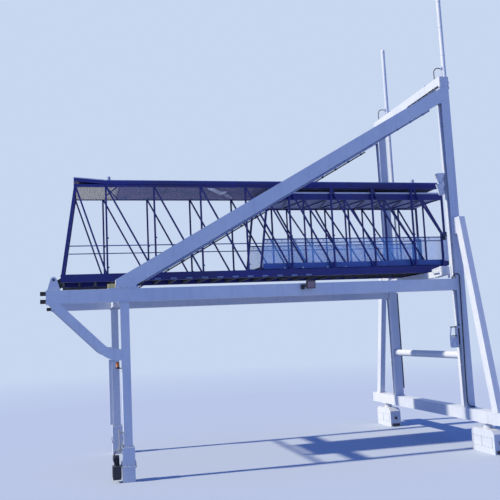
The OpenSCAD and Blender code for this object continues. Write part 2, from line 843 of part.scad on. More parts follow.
// Lamp housing hung in front of the near main beam on a yoke, with its control gear
module floodlight() {
    x0 = leg_x + flood_off;
    depth = 180;
    height = 270;
    tilt = 14;
    yoke_t = 14;
    gear_w = 110;
    color("dimgray") {
        block([x0 - yoke_t, -face_y - yoke_t, beam_top - 130],
              [x0 + flood_w + yoke_t, -face_y, beam_top - 50]);
        for (x = [x0 - yoke_t, x0 + flood_w])
            block([x, -face_y - 190, beam_top - 120], [x + yoke_t, -face_y, beam_top - 60]);
        block([x0 - yoke_t - gear_w, -face_y - 90, beam_top - 210],
              [x0 - yoke_t, -face_y, beam_top - 50]);
        translate([x0, -face_y - 70, beam_top - 160]) rotate([tilt, 0, 0])
            upright_plate(-depth, depth)
                polygon([[0, 0], [flood_w, 0], [flood_w, height - 40], [flood_w - 40, height],
                         [40, height], [0, height - 40]]);
    }
}

module warning_beacon() {
    x = leg_back - beacon_dia / 2 - 60;
    height = 190;
    z = knuckle_z - height - 30;
    color("orange") {
        rod_z(x, -frame_y, z, z + height, beacon_dia);
        block([x - 50, -frame_y - 50, z - 30], [leg_back, -frame_y + 50, z]);
    }
}

module control_cabinet() {
    depth = 120;
    z = tie_z + 290;
    color("lightgray")
        block([mast_back - depth, -face_y + 20, z], [mast_back, -mast_in - 20, z + cabinet_h]);
}

// Two stacked bells on a bracket at the mast
module warning_siren() {
    z0 = roof_under - chord_h - 540;
    x = mast_back - siren_dia / 2 - 10;
    r = siren_dia / 2;
    neck = r * 0.5;
    mid = siren_h / 2;
    color("white") {
        translate([x, -mast_in, z0])
            rotate_extrude($fn = round_fn)
                polygon([
                    [0, 0], [neck * 0.7, 0], [neck, 30], [r * 0.8, mid - 30], [r * 0.8, mid],
                    [neck, mid], [neck, mid + 30], [r, siren_h - 60], [r, siren_h], [0, siren_h]
                ]);
        block([x, -mast_in - 20, z0 + mid - 20], [mast_back, -mast_in + 20, z0 + mid + 20]);
    }
}

// Upright tray with a chain of cable links on the far mast
module cable_tray() {
    z0 = mast_foot + 250;
    z1 = beam_top - 150;
    link = 180;
    color("dimgray") {
        block([mast_front, frame_y - tray_w / 2, z0], [mast_front + 30, frame_y + tray_w / 2, z1]);
        for (z = [z0 + 60:link:z1 - link])
            block([mast_front + 30, frame_y - tray_w / 2 + 20, z],
                  [mast_front + 130, frame_y + tray_w / 2 - 20, z + link - 40]);
    }
}

// Conduit under the near girder, in lengths from clip to clip
module girder_conduit() {
    dia = 56;
    clip = 110;
    clip_len = 50;
    clip_pitch = 600;
    first_clip = 200;
    x0 = girder_x + conduit_off;
    x1 = mast_back - 500;
    run = (x1 - x0) * sqrt(1 + girder_slope * girder_slope);
    clips = [first_clip:clip_pitch:run - first_clip];
    starts = [0, for (x = clips) x + clip_len];
    ends = [for (x = clips) x, run];
    color("dimgray")
        translate([x0, -face_y + 70, girder_under(x0) - seat_gap]) rotate([0, -atan(girder_slope), 0]) {
            for (x = clips)
                block([x, -clip / 2, -dia - 12], [x + clip_len, clip / 2, 0]);
            for (i = [0:len(starts) - 1])
                translate([starts[i], 0, -dia * 0.6]) rotate([0, 90, 0])
                    cylinder(h = ends[i] - starts[i], d = dia, $fn = round_fn);
        }
}

// Pump unit with risers on the rear side of the near foot
module hydraulic_unit() {
    x1 = leg_x - foot_w / 2 - flange_lip;
    z0 = 90;
    height = 700;
    color("dimgray") {
        block([x1 - unit_w, -frame_y - 150, z0], [x1, -frame_y + 150, z0 + height]);
        block([x1 - unit_w / 2, -frame_y - 60, z0 + height], [x1 - 40, -frame_y + 60, z0 + height + 90]);
        for (y = [-90, 0, 90]) rod_z(x1 - 30, -frame_y + y, z0 + height, z0 + riser_h, hose_dia);
        for (z = [foot_h + 60, z0 + riser_h - 100])
            block([x1 - 30, -frame_y - 110, z], [leg_back, -frame_y + 110, z + 30]);
    }
}

// Hoses that rise from the cross beam and bend over to the ports of the lift cylinders
module hydraulic_hoses() {
    x1 = barrel_x - barrel_dia / 2 - 50;
    x0 = mast_x - 130;
    bend_z = mast_top + hose_rise;
    color("black") for (side = [-1, 1]) on_side(side) translate([0, -barrel_y, 0]) {
        rod_z(x0, 0, mast_top + seat_gap, bend_z, hose_dia);
        translate([x0 + hose_bend, 0, bend_z]) rotate([90, 0, 0]) rotate([0, 0, 90])
            rotate_extrude(angle = 90, $fn = round_fn)
                translate([hose_bend, 0]) circle(d = hose_dia, $fn = 24);
        rod_x(0, port_z, x0 + hose_bend, x1 - seat_gap, hose_dia);
    }
}

// Closed duct for the cables on the rear side of the far leg
module leg_duct() {
    depth = 130;
    color("gainsboro")
        block([leg_back - depth, frame_y - 80, foot_h + flange_t + 40],
              [leg_back, frame_y + 80, knuckle_z - 120]);
}

main_beam(-1);  // near_main_beam
main_beam(1);  // far_main_beam
rear_leg(-1);  // near_rear_leg
rear_leg(1);  // far_rear_leg
rear_foot(-1);  // near_rear_foot
rear_foot(1);  // far_rear_foot
knee_brace(-1);  // near_knee_brace
knee_brace(1);  // far_knee_brace
inclined_girder(-1);  // near_inclined_girder
inclined_girder(1);  // far_inclined_girder
mast(-1);  // near_mast
mast(1);  // far_mast
guide_rail(-1);  // near_guide_rail
guide_rail(1);  // far_guide_rail
side_strut(-1);  // near_side_strut
side_strut(1);  // far_side_strut
pivot_bracket(-1);  // near_pivot_bracket
pivot_bracket(1);  // far_pivot_bracket
lift_cylinder(-1);  // near_lift_cylinder
lift_cylinder(1);  // far_lift_cylinder
bogie(-1);  // near_bogie
bogie(1);  // far_bogie
rear_buffers();
rear_cross_beam();
front_sill_beam();
top_cross_beam();
mast_tie_tube();
outer_truss(-1);  // outer_near_truss
outer_truss(1);  // outer_far_truss
outer_roof();
outer_floor();
pivot_shaft();
outer_handrails();
runner_pads();
outer_ceiling();
rear_roof_panel();
service_pipes();
roof_lamps();
inner_truss(-1);  // inner_near_truss
inner_truss(1);  // inner_far_truss
inner_roof();
inner_floor();
parapet_glass();
kick_boards();
rubber_nose();
inner_handrails();
roof_trim();
lift_carriage();
piston_rods();
floodlight();
warning_beacon();
control_cabinet();
warning_siren();
cable_tray();
girder_conduit();
hydraulic_unit();
hydraulic_hoses();
leg_duct();
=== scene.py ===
import json
import math

import bpy
from mathutils import Matrix, Vector


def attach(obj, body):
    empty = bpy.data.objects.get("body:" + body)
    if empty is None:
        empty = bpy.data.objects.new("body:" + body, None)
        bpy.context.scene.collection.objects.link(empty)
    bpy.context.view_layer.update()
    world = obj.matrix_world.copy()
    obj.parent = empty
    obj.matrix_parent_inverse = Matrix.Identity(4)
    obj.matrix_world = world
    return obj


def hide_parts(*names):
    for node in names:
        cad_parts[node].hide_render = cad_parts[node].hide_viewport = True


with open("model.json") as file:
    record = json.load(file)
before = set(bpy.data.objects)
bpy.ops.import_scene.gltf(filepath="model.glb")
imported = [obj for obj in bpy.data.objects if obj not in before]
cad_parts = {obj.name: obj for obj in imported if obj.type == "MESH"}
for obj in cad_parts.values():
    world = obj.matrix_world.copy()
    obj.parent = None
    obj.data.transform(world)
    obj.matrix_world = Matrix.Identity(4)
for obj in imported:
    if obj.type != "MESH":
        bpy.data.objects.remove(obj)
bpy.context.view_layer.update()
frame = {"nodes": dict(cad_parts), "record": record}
cadNodes = frame["nodes"]
scene = bpy.context.scene
bpy.ops.object.select_all(action="DESELECT")
print("frame loaded")

# camera at the photo's place: yaw from +Y towards +X, pitch up, roll
cameraView = {"place": (-6.5126, -24.4439, 4.3197), "yaw": 14.6882, "pitch": 6.7307, "roll": -2.7625,
              "focalPixels": 687.88, "imagePixels": 500}


def placeCamera(view):
    yaw, pitch, roll = (math.radians(view[k]) for k in ("yaw", "pitch", "roll"))
    ahead = Vector((math.sin(yaw) * math.cos(pitch), math.cos(yaw) * math.cos(pitch), math.sin(pitch)))
    level = Vector((math.cos(yaw), -math.sin(yaw), 0))
    upward = level.cross(ahead)
    right = math.cos(roll) * level + math.sin(roll) * upward
    top = -math.sin(roll) * level + math.cos(roll) * upward
    bpy.ops.object.camera_add()
    camera = bpy.context.object
    turn = Matrix((right, top, -ahead)).transposed().to_4x4()
    camera.matrix_world = Matrix.Translation(view["place"]) @ turn
    camera.data.sensor_width = 36
    camera.data.lens = 36 * view["focalPixels"] / view["imagePixels"]
    camera.data.clip_end = 600
    scene.camera = camera


placeCamera(cameraView)
print("camera placed")

# the lift cylinders' hoses: up from the cross beam, round a bend and into the barrel ports
liftHose = {"x": 6.64, "beamTop": 13.22, "rise": 0.30, "bend": 0.18, "portX": 6.935, "y": 2.41,
            "diameter": 0.034, "seatGap": 0.0003}


def hoseRoute(y):
    x, bend, gap = liftHose["x"], liftHose["bend"], liftHose["seatGap"]
    low, turn = liftHose["beamTop"] + gap, liftHose["beamTop"] + liftHose["rise"]
    points = [Vector((x, y, low + (turn - low) * i / 6)) for i in range(6)]
    for angle in (math.radians(7.5 * i) for i in range(13)):
        points.append(Vector((x + bend - bend * math.cos(angle), y, turn + bend * math.sin(angle))))
    reach = liftHose["portX"] - gap - x - bend
    return points + [Vector((x + bend + reach * i / 3, y, turn + bend)) for i in (1, 2, 3)]


def addHose(name, y):
    route = hoseRoute(y)
    hose = bpy.data.objects.new(name, bpy.data.curves.new(name, "CURVE"))
    hose.data.dimensions = "3D"
    hose.data.bevel_depth = 1.0  # the points' own radius gives the thickness
    hose.data.bevel_resolution = 6
    hose.data.use_fill_caps = True
    spline = hose.data.splines.new("POLY")
    spline.points.add(len(route) - 1)
    for point, place in zip(spline.points, route):
        point.co = (*place, 1)
        point.radius = liftHose["diameter"] / 2
    scene.collection.objects.link(hose)
    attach(hose, "gantry")
    return hose


hoses = [addHose("nearHose", -liftHose["y"]), addHose("farHose", liftHose["y"])]
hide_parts("hydraulic_hoses")
print("hoses laid")

materials = {}
colourMix = {"data_type": "RGBA"}


def hexToLinear(code):
    parts = [int(code[i:i + 2], 16) / 255 for i in (0, 2, 4)]
    return tuple(c / 12.92 if c <= 0.04045 else ((c + 0.055) / 1.055) ** 2.4 for c in parts) + (1.0,)


def addNode(tree, kind, inputs=None, settings=None):
    # links an input that is given a socket, sets any other, and gives back the node's outputs
    node = tree.nodes.new("ShaderNode" + kind)
    for name, value in (settings or {}).items():
        setattr(node, name, value)
    for name, value in (inputs or {}).items():
        if isinstance(value, bpy.types.NodeSocket):
            tree.links.new(value, node.inputs[name])
        else:
            node.inputs[name].default_value = value
    return node.outputs


def startMaterial(name):
    material = materials[name] = bpy.data.materials.new(name)
    material.use_nodes = True
    tree = material.node_tree
    tree.nodes.clear()
    return tree, addNode(tree, "TexCoord")["Object"]


def endMaterial(tree, inputs):
    shader = addNode(tree, "BsdfPrincipled", inputs)[0]
    addNode(tree, "OutputMaterial", {"Surface": shader})


# Coated steel: shot-blasted plate with a sprayed two-part coating. The eye sees a soft gloss,
# slow colour drift, rain streaks under ledges, salt dust on top and rust where the coat broke.
# Faces that point down are darkened towards the grime tone as painted shade.
coatedSteels = {
    "whiteCoatedSteel": {"coat": "C0C8DA", "shade": "B2BDD6", "grimeAndShade": "69728F", "rust": "7A4A33",
                         "dust": "CFD4E0", "streaks": 0.14, "rusting": 0.35, "roughness": 0.45},
    "navyCoatedSteel": {"coat": "15207C", "shade": "101A64", "grimeAndShade": "0C1238", "rust": "4A2B22",
                        "dust": "2F3C86", "streaks": 0.30, "rusting": 0.25, "roughness": 0.42},
    "blueCoatedBoard": {"coat": "3A60B0", "shade": "2F529C", "grimeAndShade": "1B2F63", "rust": "5A3A2E",
                        "dust": "5C74B4", "streaks": 0.30, "rusting": 0.20, "roughness": 0.40},
    "railCoatedTube": {"coat": "3F58A4", "shade": "33498E", "grimeAndShade": "22305E", "rust": "6B4433",
                       "dust": "7287C0", "streaks": 0.20, "rusting": 0.30, "roughness": 0.36},
    "greyCoatedSteel": {"coat": "8594BC", "shade": "7080AA", "grimeAndShade": "454F6E", "rust": "714735",
                        "dust": "A3ABBC", "streaks": 0.25, "rusting": 0.35, "roughness": 0.45},
    "darkCoatedSteel": {"coat": "262A3E", "shade": "1C2030", "grimeAndShade": "12141B", "rust": "5A3828",
                        "dust": "474C5E", "streaks": 0.30, "rusting": 0.45, "roughness": 0.50},
    "yellowCoatedSteel": {"coat": "CFC78A", "shade": "B5AC72", "grimeAndShade": "6E6848", "rust": "6E4630",
                          "dust": "C4BE9C", "streaks": 0.30, "rusting": 0.35, "roughness": 0.50},
}


def makeCoatedSteel(name, look):
    tree, place = startMaterial(name)
    # rain streaks about 150 mm apart and two metres long
    drawn = addNode(tree, "Mapping", {"Vector": place, "Scale": (3.0, 3.0, 0.22)})[0]
    # the last is the orange peel of the spray coat, coarser than real so that it shows
    drift, mottle, streak, patch, peel = (
        addNode(tree, "TexNoise", {"Vector": vector, "Scale": scale, "Detail": detail,
                                   "Roughness": rough})["Fac"]
        for vector, scale, detail, rough in (
            (place, 0.45, 5, 0.6), (place, 5.0, 6, 0.7), (drawn, 2.2, 4, 0.55), (place, 3.1, 8, 0.75),
            (place, 120.0, 2, 0.5)))
    facing = addNode(tree, "NewGeometry")["Normal"]
    upward = addNode(tree, "SeparateXYZ", {"Vector": facing})["Z"]
    # each layer: what drives it, where it starts, where it is full, how strong it gets, its colour
    layers = ((drift, 0.35, 0.65, 1.0, look["shade"]), (streak, 0.52, 0.74, look["streaks"], look["grimeAndShade"]),
              # the second layer here is painted shade: faces that point down darken towards the grime tone
              (upward, 0.55, 0.9, 0.55, look["dust"]), (upward, -0.4, -0.9, 0.45, look["grimeAndShade"]),
              (mottle, 0.7, 0.3, 0.075, "000000"), (patch, 0.70, 0.745, look["rusting"], look["rust"]))
    base = hexToLinear(look["coat"])
    for source, start, full, strength, colour in layers:
        mask = addNode(tree, "MapRange", {"Value": source, "From Min": start, "From Max": full,
                                          "To Max": strength})[0]
        base = addNode(tree, "Mix", {0: mask, 6: base, 7: hexToLinear(colour)}, colourMix)[2]
    rough = addNode(tree, "MapRange", {"Value": mottle, "To Min": look["roughness"] - 0.08,
                                       "To Max": look["roughness"] + 0.14})[0]
    bare = addNode(tree, "MapRange", {"Value": patch, "From Min": 0.70, "From Max": 0.745})[0]
    # buckled plate, orange peel and the flaked edges of the coat, each laid on the one before
    normal = facing
    for height, strength, distance in ((drift, 0.25, 0.012), (peel, 0.12, 0.0015), (bare, 0.4, 0.002)):
        normal = addNode(tree, "Bump", {"Height": height, "Strength": strength, "Distance": distance,
                                        "Normal": normal}, {"invert": height == bare})[0]
    endMaterial(tree, {"Base Color": base, "Roughness": rough, "Normal": normal, "Specular IOR Level": 0.45})


for name, look in coatedSteels.items():
    makeCoatedSteel(name, look)


# Plain finishes share one recipe: a base, a second tone in the marks, and a fine grain.
plainFinishes = {
    # weathered neoprene, moulded: dull black with grey chalking
    "mouldedNeoprene": {"base": "1A1B20", "marks": "3A3C44", "markScale": 9.0, "cut": (0.5, 0.75),
                        "grain": 90.0, "depth": 0.004, "roughness": 0.72, "metallic": 0.0},
    # hot-dip galvanised fasteners: pale spangled zinc
    "galvanisedZinc": {"base": "A7ACB6", "marks": "7C8290", "markScale": 60.0, "cut": (0.4, 0.6),
                       "grain": 200.0, "depth": 0.001, "roughness": 0.48, "metallic": 0.75},
    # hard-chromed ground bar: bright with light oil haze
    "hardChromeBar": {"base": "C9CCD2", "marks": "9A9EA8", "markScale": 14.0, "cut": (0.5, 0.8),
                      "grain": 300.0, "depth": 0.0004, "roughness": 0.16, "metallic": 1.0},
    # anti-slip deck plate, gritted black coating, dusty along the walkway
    "grittedDeckPlate": {"base": "1D1E26", "marks": "3B3D48", "markScale": 2.0, "cut": (0.45, 0.7),
                         "grain": 240.0, "depth": 0.004, "roughness": 0.82, "metallic": 0.0},
    # extruded hose cover, synthetic rubber
    "hoseRubber": {"base": "0B0E1C", "marks": "1B2036", "markScale": 25.0, "cut": (0.5, 0.7),
                   "grain": 150.0, "depth": 0.001, "roughness": 0.55, "metallic": 0.0},
    # folded aluminium trim, washed pale by the weather
    "foldedTrimAluminium": {"base": "B9C4DE", "marks": "8E9ABC", "markScale": 6.0, "cut": (0.45, 0.8),
                            "grain": 160.0, "depth": 0.001, "roughness": 0.38, "metallic": 0.25},
    # coil-coated sheet between the ribs of the inner roof, lavender-grey and matt
    "paleCeilingSheet": {"base": "8A94C8", "marks": "7480B2", "markScale": 2.5, "cut": (0.4, 0.65),
                         "grain": 60.0, "depth": 0.002, "roughness": 0.6, "metallic": 0.0},
    # sealing strip torn loose, sun-bleached fabric-backed plastic
    "bleachedSealStrip": {"base": "FAFBFF", "marks": "DDE2F2", "markScale": 18.0, "cut": (0.4, 0.7),
                          "grain": 120.0, "depth": 0.002, "roughness": 0.7, "metallic": 0.0},
}


def makePlainFinish(name, look):
    tree, place = startMaterial(name)
    marks = addNode(tree, "TexNoise", {"Vector": place, "Scale": look["markScale"], "Detail": 6})["Fac"]
    grain = addNode(tree, "TexNoise", {"Vector": place, "Scale": look["grain"], "Detail": 2})["Fac"]
    mask = addNode(tree, "MapRange", {"Value": marks, "From Min": look["cut"][0],
                                      "From Max": look["cut"][1]})[0]
    colour = addNode(tree, "Mix", {0: mask, 6: hexToLinear(look["base"]), 7: hexToLinear(look["marks"])},
                     colourMix)[2]
    rough = addNode(tree, "MapRange", {"Value": marks, "To Min": look["roughness"] * 0.85,
                                       "To Max": min(1.0, look["roughness"] * 1.2)})[0]
    bump = addNode(tree, "Bump", {"Height": grain, "Strength": 0.35, "Distance": look["depth"]})[0]
    endMaterial(tree, {"Base Color": colour, "Roughness": rough, "Normal": bump, "Metallic": look["metallic"]})


for name, look in plainFinishes.items():
    makePlainFinish(name, look)


# Laminated float glass with a light blue body tint: clear and glossy, with a faint haze of dried rain.
parapetGlass = {"tint": "7CBBFF", "haze": "A4D2FF", "roughness": 0.03, "cover": 0.27, "hazeCover": 0.34}


def makeParapetGlass(look):
    tree, place = startMaterial("tintedLaminatedGlass")
    marks = addNode(tree, "TexNoise", {"Vector": place, "Scale": 1.2, "Detail": 2})["Fac"]
    mask = addNode(tree, "MapRange", {"Value": marks, "From Min": 0.4, "From Max": 0.7})[0]
    colour = addNode(tree, "Mix", {0: mask, 6: hexToLinear(look["tint"]), 7: hexToLinear(look["haze"])},
                     colourMix)[2]
    cover = addNode(tree, "MapRange", {"Value": mask, "To Min": look["cover"], "To Max": look["hazeCover"]})[0]
    endMaterial(tree, {"Base Color": colour, "Alpha": cover, "Roughness": look["roughness"]})


# Profiled ceiling sheet, coil coated: ribs 100 mm apart, stained mauve-brown, cream in the rear bay.
ceilingSheet = {"base": "8A7CA6", "stain": "64739E", "cream": "E6DDC8", "creamFrom": -5.05, "creamTo": -4.85,
                "ribPitch": 0.10, "jointPitch": 1.62, "roughness": 0.6}


def addRibs(tree, place, pitch):
    # a wave along x, one turn for each rib
    along = addNode(tree, "SeparateXYZ", {"Vector": place})["X"]
    turns = addNode(tree, "Math", {0: along, 1: 2 * math.pi / pitch}, {"operation": "MULTIPLY"})[0]
    return along, addNode(tree, "Math", {0: turns}, {"operation": "SINE"})[0]


def makeCeilingSheet(look):
    tree, place = startMaterial("coilCoatedCeilingSheet")
    along, rib = addRibs(tree, place, look["ribPitch"])
    blots = addNode(tree, "TexNoise", {"Vector": place, "Scale": 1.6, "Detail": 7, "Roughness": 0.7})["Fac"]
    stain = addNode(tree, "MapRange", {"Value": blots, "From Min": 0.38, "From Max": 0.62})[0]
    colour = addNode(tree, "Mix", {0: stain, 6: hexToLinear(look["base"]), 7: hexToLinear(look["stain"])},
                     colourMix)[2]
    rear = addNode(tree, "MapRange", {"Value": along, "From Min": look["creamTo"],
                                      "From Max": look["creamFrom"]})[0]
    pale = addNode(tree, "Mix", {0: rear, 6: colour, 7: hexToLinear(look["cream"])}, colourMix)[2]
    joint = addNode(tree, "Math", {0: along, 1: look["jointPitch"] / 2}, {"operation": "PINGPONG"})[0]
    line = addNode(tree, "MapRange", {"Value": joint, "From Max": 0.03, "To Min": 0.35})[0]
    lined = addNode(tree, "Mix", {0: 1.0, 6: pale, 7: line}, {**colourMix, "blend_type": "MULTIPLY"})[2]
    bump = addNode(tree, "Bump", {"Height": rib, "Strength": 0.6, "Distance": 0.012})[0]
    rough = addNode(tree, "MapRange", {"Value": blots, "To Min": look["roughness"],
                                       "To Max": look["roughness"] + 0.25})[0]
    endMaterial(tree, {"Base Color": lined, "Roughness": rough, "Normal": bump})


# Moulded amber acrylic lens: deep orange, glossy, darker in its flutes.
beaconLens = {"amber": "D9701E", "deep": "7A2E0C", "roughness": 0.18}


def makeBeaconLens(look):
    tree, place = startMaterial("mouldedAmberAcrylic")
    cells = addNode(tree, "TexNoise", {"Vector": place, "Scale": 18.0, "Detail": 3})["Fac"]
    mask = addNode(tree, "MapRange", {"Value": cells, "From Min": 0.3, "From Max": 0.6})[0]
    colour = addNode(tree, "Mix", {0: mask, 6: hexToLinear(look["deep"]), 7: hexToLinear(look["amber"])},
                     colourMix)[2]
    bump = addNode(tree, "Bump", {"Height": cells, "Strength": 0.2, "Distance": 0.002})[0]
    endMaterial(tree, {"Base Color": colour, "Normal": bump, "Roughness": look["roughness"],
                       "Coat Weight": 0.5})


# Ribbed borosilicate cover glass of the floodlight: pinkish and glossy, with painted shade in the dark tone
# between its ribs.
lampGlass = {"rose": "9A7F92", "dark": "3C3348", "roughness": 0.12, "ribPitch": 0.04}


def makeLampGlass(look):
    tree, place = startMaterial("ribbedLampGlass")
    rib = addRibs(tree, place, look["ribPitch"])[1]
    mask = addNode(tree, "MapRange", {"Value": rib, "From Min": 0.2, "From Max": 0.8, "To Min": 0.2})[0]
    # the dark tone in the grooves between the ribs is painted shade
    colour = addNode(tree, "Mix", {0: mask, 6: hexToLinear(look["dark"]), 7: hexToLinear(look["rose"])},
                     colourMix)[2]
    bump = addNode(tree, "Bump", {"Height": rib, "Strength": 0.5, "Distance": 0.004})[0]
    endMaterial(tree, {"Base Color": colour, "Normal": bump, "Roughness": look["roughness"],
                       "Coat Weight": 0.6})


makeParapetGlass(parapetGlass)
makeCeilingSheet(ceilingSheet)
makeBeaconLens(beaconLens)
makeLampGlass(lampGlass)

slotFinishes = {"white_paint": "whiteCoatedSteel", "navy_paint": "navyCoatedSteel",
                "blue_paint": "blueCoatedBoard", "rail_paint": "railCoatedTube",
                "grey_paint": "greyCoatedSteel", "dark_steel": "darkCoatedSteel",
                "rod_steel": "hardChromeBar", "black_rubber": "mouldedNeoprene",
                "dark_deck": "grittedDeckPlate", "tinted_glass": "tintedLaminatedGlass",
                "ceiling_panel": "coilCoatedCeilingSheet", "amber_lens": "mouldedAmberAcrylic"}
finishSlots = {finish: slotName for slotName, finish in slotFinishes.items()}
finishSlots.update({"galvanisedZinc": "grey_paint", "foldedTrimAluminium": "grey_paint",
                    "bleachedSealStrip": "grey_paint", "yellowCoatedSteel": "grey_paint",
                    "paleCeilingSheet": "grey_paint", "ribbedLampGlass": "tinted_glass",
                    "hoseRubber": "black_rubber"})
for entry in frame["record"]["subparts"]:
    for slot in cadNodes[entry["node"]].material_slots:
        slot.material = materials[slotFinishes[entry["material_slot"]]]
for hose in hoses:
    hose.data.materials.append(materials["hoseRubber"])
print("materials made")


def selectOnly(*pieces):
    bpy.ops.object.select_all(action="DESELECT")
    for piece in pieces:
        piece.select_set(True)
    bpy.context.view_layer.objects.active = pieces[0]


def joinPieces(*pieces):
    selectOnly(*pieces)
    bpy.ops.object.join()
    return bpy.context.object


def settle(piece, edge=0.0, segments=2):
    # applies the placement, then rounds the edges with an applied bevel
    selectOnly(piece)
    bpy.ops.object.transform_apply(location=True, rotation=True, scale=True)
    if edge:
        bevel = piece.modifiers.new("roundedEdges", "BEVEL")
        bevel.width = edge
        bevel.segments = segments
        bevel.limit_method = "ANGLE"
        bpy.ops.object.modifier_apply(modifier=bevel.name)
    return piece


def addBlock(corner, opposite, edge=0.004, segments=1):
    # between two opposite corners, in any order
    corner, opposite = Vector(corner), Vector(opposite)
    bpy.ops.mesh.primitive_cube_add(size=1, location=(corner + opposite) / 2)
    piece = bpy.context.object
    piece.scale = [abs(part) for part in opposite - corner]
    return settle(piece, edge, segments)


def addBar(start, end, width, depth, edge=0.003):
    start, end = Vector(start), Vector(end)
    bpy.ops.mesh.primitive_cube_add(size=1, location=(start + end) / 2)
    piece = bpy.context.object
    piece.rotation_mode = "QUATERNION"
    piece.rotation_quaternion = (end - start).to_track_quat("Z", "Y")
    piece.scale = (width, depth, (end - start).length)
    return settle(piece, edge, 1)


def addRod(start, end, radius, facets=16, edge=0.0):
    start, end = Vector(start), Vector(end)
    bpy.ops.mesh.primitive_cylinder_add(vertices=facets, radius=radius, depth=(end - start).length,
                                        location=(start + end) / 2)
    piece = bpy.context.object
    piece.rotation_mode = "QUATERNION"
    piece.rotation_quaternion = (end - start).to_track_quat("Z", "Y")
    settle(piece, edge, 1)
    bpy.ops.object.shade_smooth_by_angle(angle=math.radians(35))
    return piece


def addTurned(profile, place=(0, 0, 0), direction=(0, 0, 1), steps=28):
    # profile: radius and height pairs; one point is extruded along them and spun round the direction
    bpy.ops.mesh.primitive_plane_add(size=0.01, location=(0, 0, 0))
    piece = bpy.context.object
    bpy.ops.object.mode_set(mode="EDIT")
    bpy.ops.mesh.select_all(action="SELECT")
    bpy.ops.mesh.merge(type="CENTER")
    bpy.ops.mesh.select_mode(type="VERT")
    bpy.ops.mesh.select_all(action="SELECT")
    bpy.ops.transform.translate(value=(profile[0][0], 0, profile[0][1]))
    for (r, z), (nextR, nextZ) in zip(profile, profile[1:]):
        bpy.ops.mesh.extrude_region_move(TRANSFORM_OT_translate={"value": (nextR - r, 0, nextZ - z)})
    bpy.ops.mesh.select_all(action="SELECT")
    bpy.ops.mesh.spin(steps=steps, angle=2 * math.pi, center=(0, 0, 0), axis=(0, 0, 1))
    bpy.ops.mesh.select_all(action="SELECT")
    bpy.ops.mesh.remove_doubles(threshold=0.0002)
    bpy.ops.mesh.select_all(action="SELECT")
    bpy.ops.mesh.normals_make_consistent(inside=False)
    bpy.ops.object.mode_set(mode="OBJECT")
    piece.rotation_mode = "QUATERNION"
    piece.rotation_quaternion = Vector(direction).to_track_quat("Z", "Y")
    piece.location = place
    settle(piece)
    bpy.ops.object.shade_smooth_by_angle(angle=math.radians(35))
    return piece


def addPipe(points, radius, resolution=3):
    # a bent pipe: a poly line given its bore, then made a mesh
    curve = bpy.data.curves.new("pipe", "CURVE")
    curve.dimensions = "3D"
    curve.bevel_depth = radius
    curve.bevel_resolution = resolution
    curve.use_fill_caps = True
    spline = curve.splines.new("POLY")
    spline.points.add(len(points) - 1)
    for point, place in zip(spline.points, points):
        point.co = (*place, 1)
    piece = bpy.data.objects.new("pipe", curve)
    scene.collection.objects.link(piece)
    selectOnly(piece)
    bpy.ops.object.convert(target="MESH")
    bpy.ops.object.shade_smooth_by_angle(angle=math.radians(40))
    return bpy.context.object


def insetFaces(piece, direction, thickness, depth):
    # insets the widest faces on one side of a piece, for doors, covers and panels
    selectOnly(piece)
    bpy.ops.object.mode_set(mode="EDIT")
    bpy.ops.mesh.select_mode(type="FACE")
    bpy.ops.mesh.select_all(action="DESELECT")
    bpy.ops.object.mode_set(mode="OBJECT")
    wanted = Vector(direction)
    facing = [face for face in piece.data.polygons if face.normal.dot(wanted) > 0.98]
    widest = max(face.area for face in facing)
    for face in facing:
        face.select = face.area > 0.4 * widest
    bpy.ops.object.mode_set(mode="EDIT")
    bpy.ops.mesh.inset(thickness=thickness, depth=depth)
    bpy.ops.object.mode_set(mode="OBJECT")
    return piece


def placeCopies(source, transforms):
    copies = []
    for transform in transforms:
        twin = source.copy()
        twin.data = source.data.copy()
        twin.data.transform(transform)
        scene.collection.objects.link(twin)
        copies.append(twin)
    bpy.data.objects.remove(source)
    return copies


def spread(source, places):
    # moves copies of a piece modelled at the origin to the places
    return placeCopies(source, [Matrix.Translation(place) for place in places])


def dress(name, parts, finish, body, replaced=()):
    # joins the parts into one named piece, gives it its finish and its body
    piece = joinPieces(*parts) if len(parts) > 1 else parts[0]
    piece.name = piece.data.name = name
    piece.data.materials.clear()
    piece.data.materials.append(materials[finish])
    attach(piece, body)
    if replaced:
        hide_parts(*replaced)


# main sizes in metres, as in the frame
span = {"legX": -4.93, "legBack": -5.06, "mastX": 6.77, "mastBack": 6.605, "frameY": 2.70, "faceY": 2.83,
        "beamIn": 2.57, "barrelX": 7.065, "barrelY": 2.41, "mastTop": 13.22, "tunnelEnd": 7.10,
        "roofHalf": 1.23, "eaves": 9.615, "camber": 0.05, "rearTop": -6.38, "firstPost": -5.34, "bay": 1.62,
        "soleOut": 1.20, "innerY": 1.07, "innerCeiling": 9.05}
sides = (-1, 1)
up, down, ahead, back = (0, 0, 1), (0, 0, -1), (1, 0, 0), (-1, 0, 0)

# hexagon bolt with washer, M24: 36 mm across flats
boltLook = {"flatRadius": 0.0208, "headHeight": 0.015, "washerRadius": 0.026, "washerThickness": 0.004}


def makeBolt(scale):
    look = {key: value * scale for key, value in boltLook.items()}
    bpy.ops.mesh.primitive_cylinder_add(vertices=6, radius=look["flatRadius"], depth=look["headHeight"],
                                        location=(0, 0, look["washerThickness"] + look["headHeight"] / 2))
    head = settle(bpy.context.object, 0.002 * scale, 1)
    bpy.ops.mesh.primitive_cylinder_add(vertices=14, radius=look["washerRadius"],
                                        depth=look["washerThickness"],
                                        location=(0, 0, look["washerThickness"] / 2))
    return joinPieces(head, settle(bpy.context.object, 0.0008 * scale, 1))


def boltRow(spots, scale):
    # spots: place and outward direction of each bolt
    turns = [Matrix.Translation(place) @ Vector(out).to_track_quat("Z", "Y").to_matrix().to_4x4()
             for place, out in spots]
    return placeCopies(makeBolt(scale), turns)


def evenly(middle, half, count):
    return [middle + half * (2 * i / (count - 1) - 1) for i in range(count)] if count > 1 else [middle]


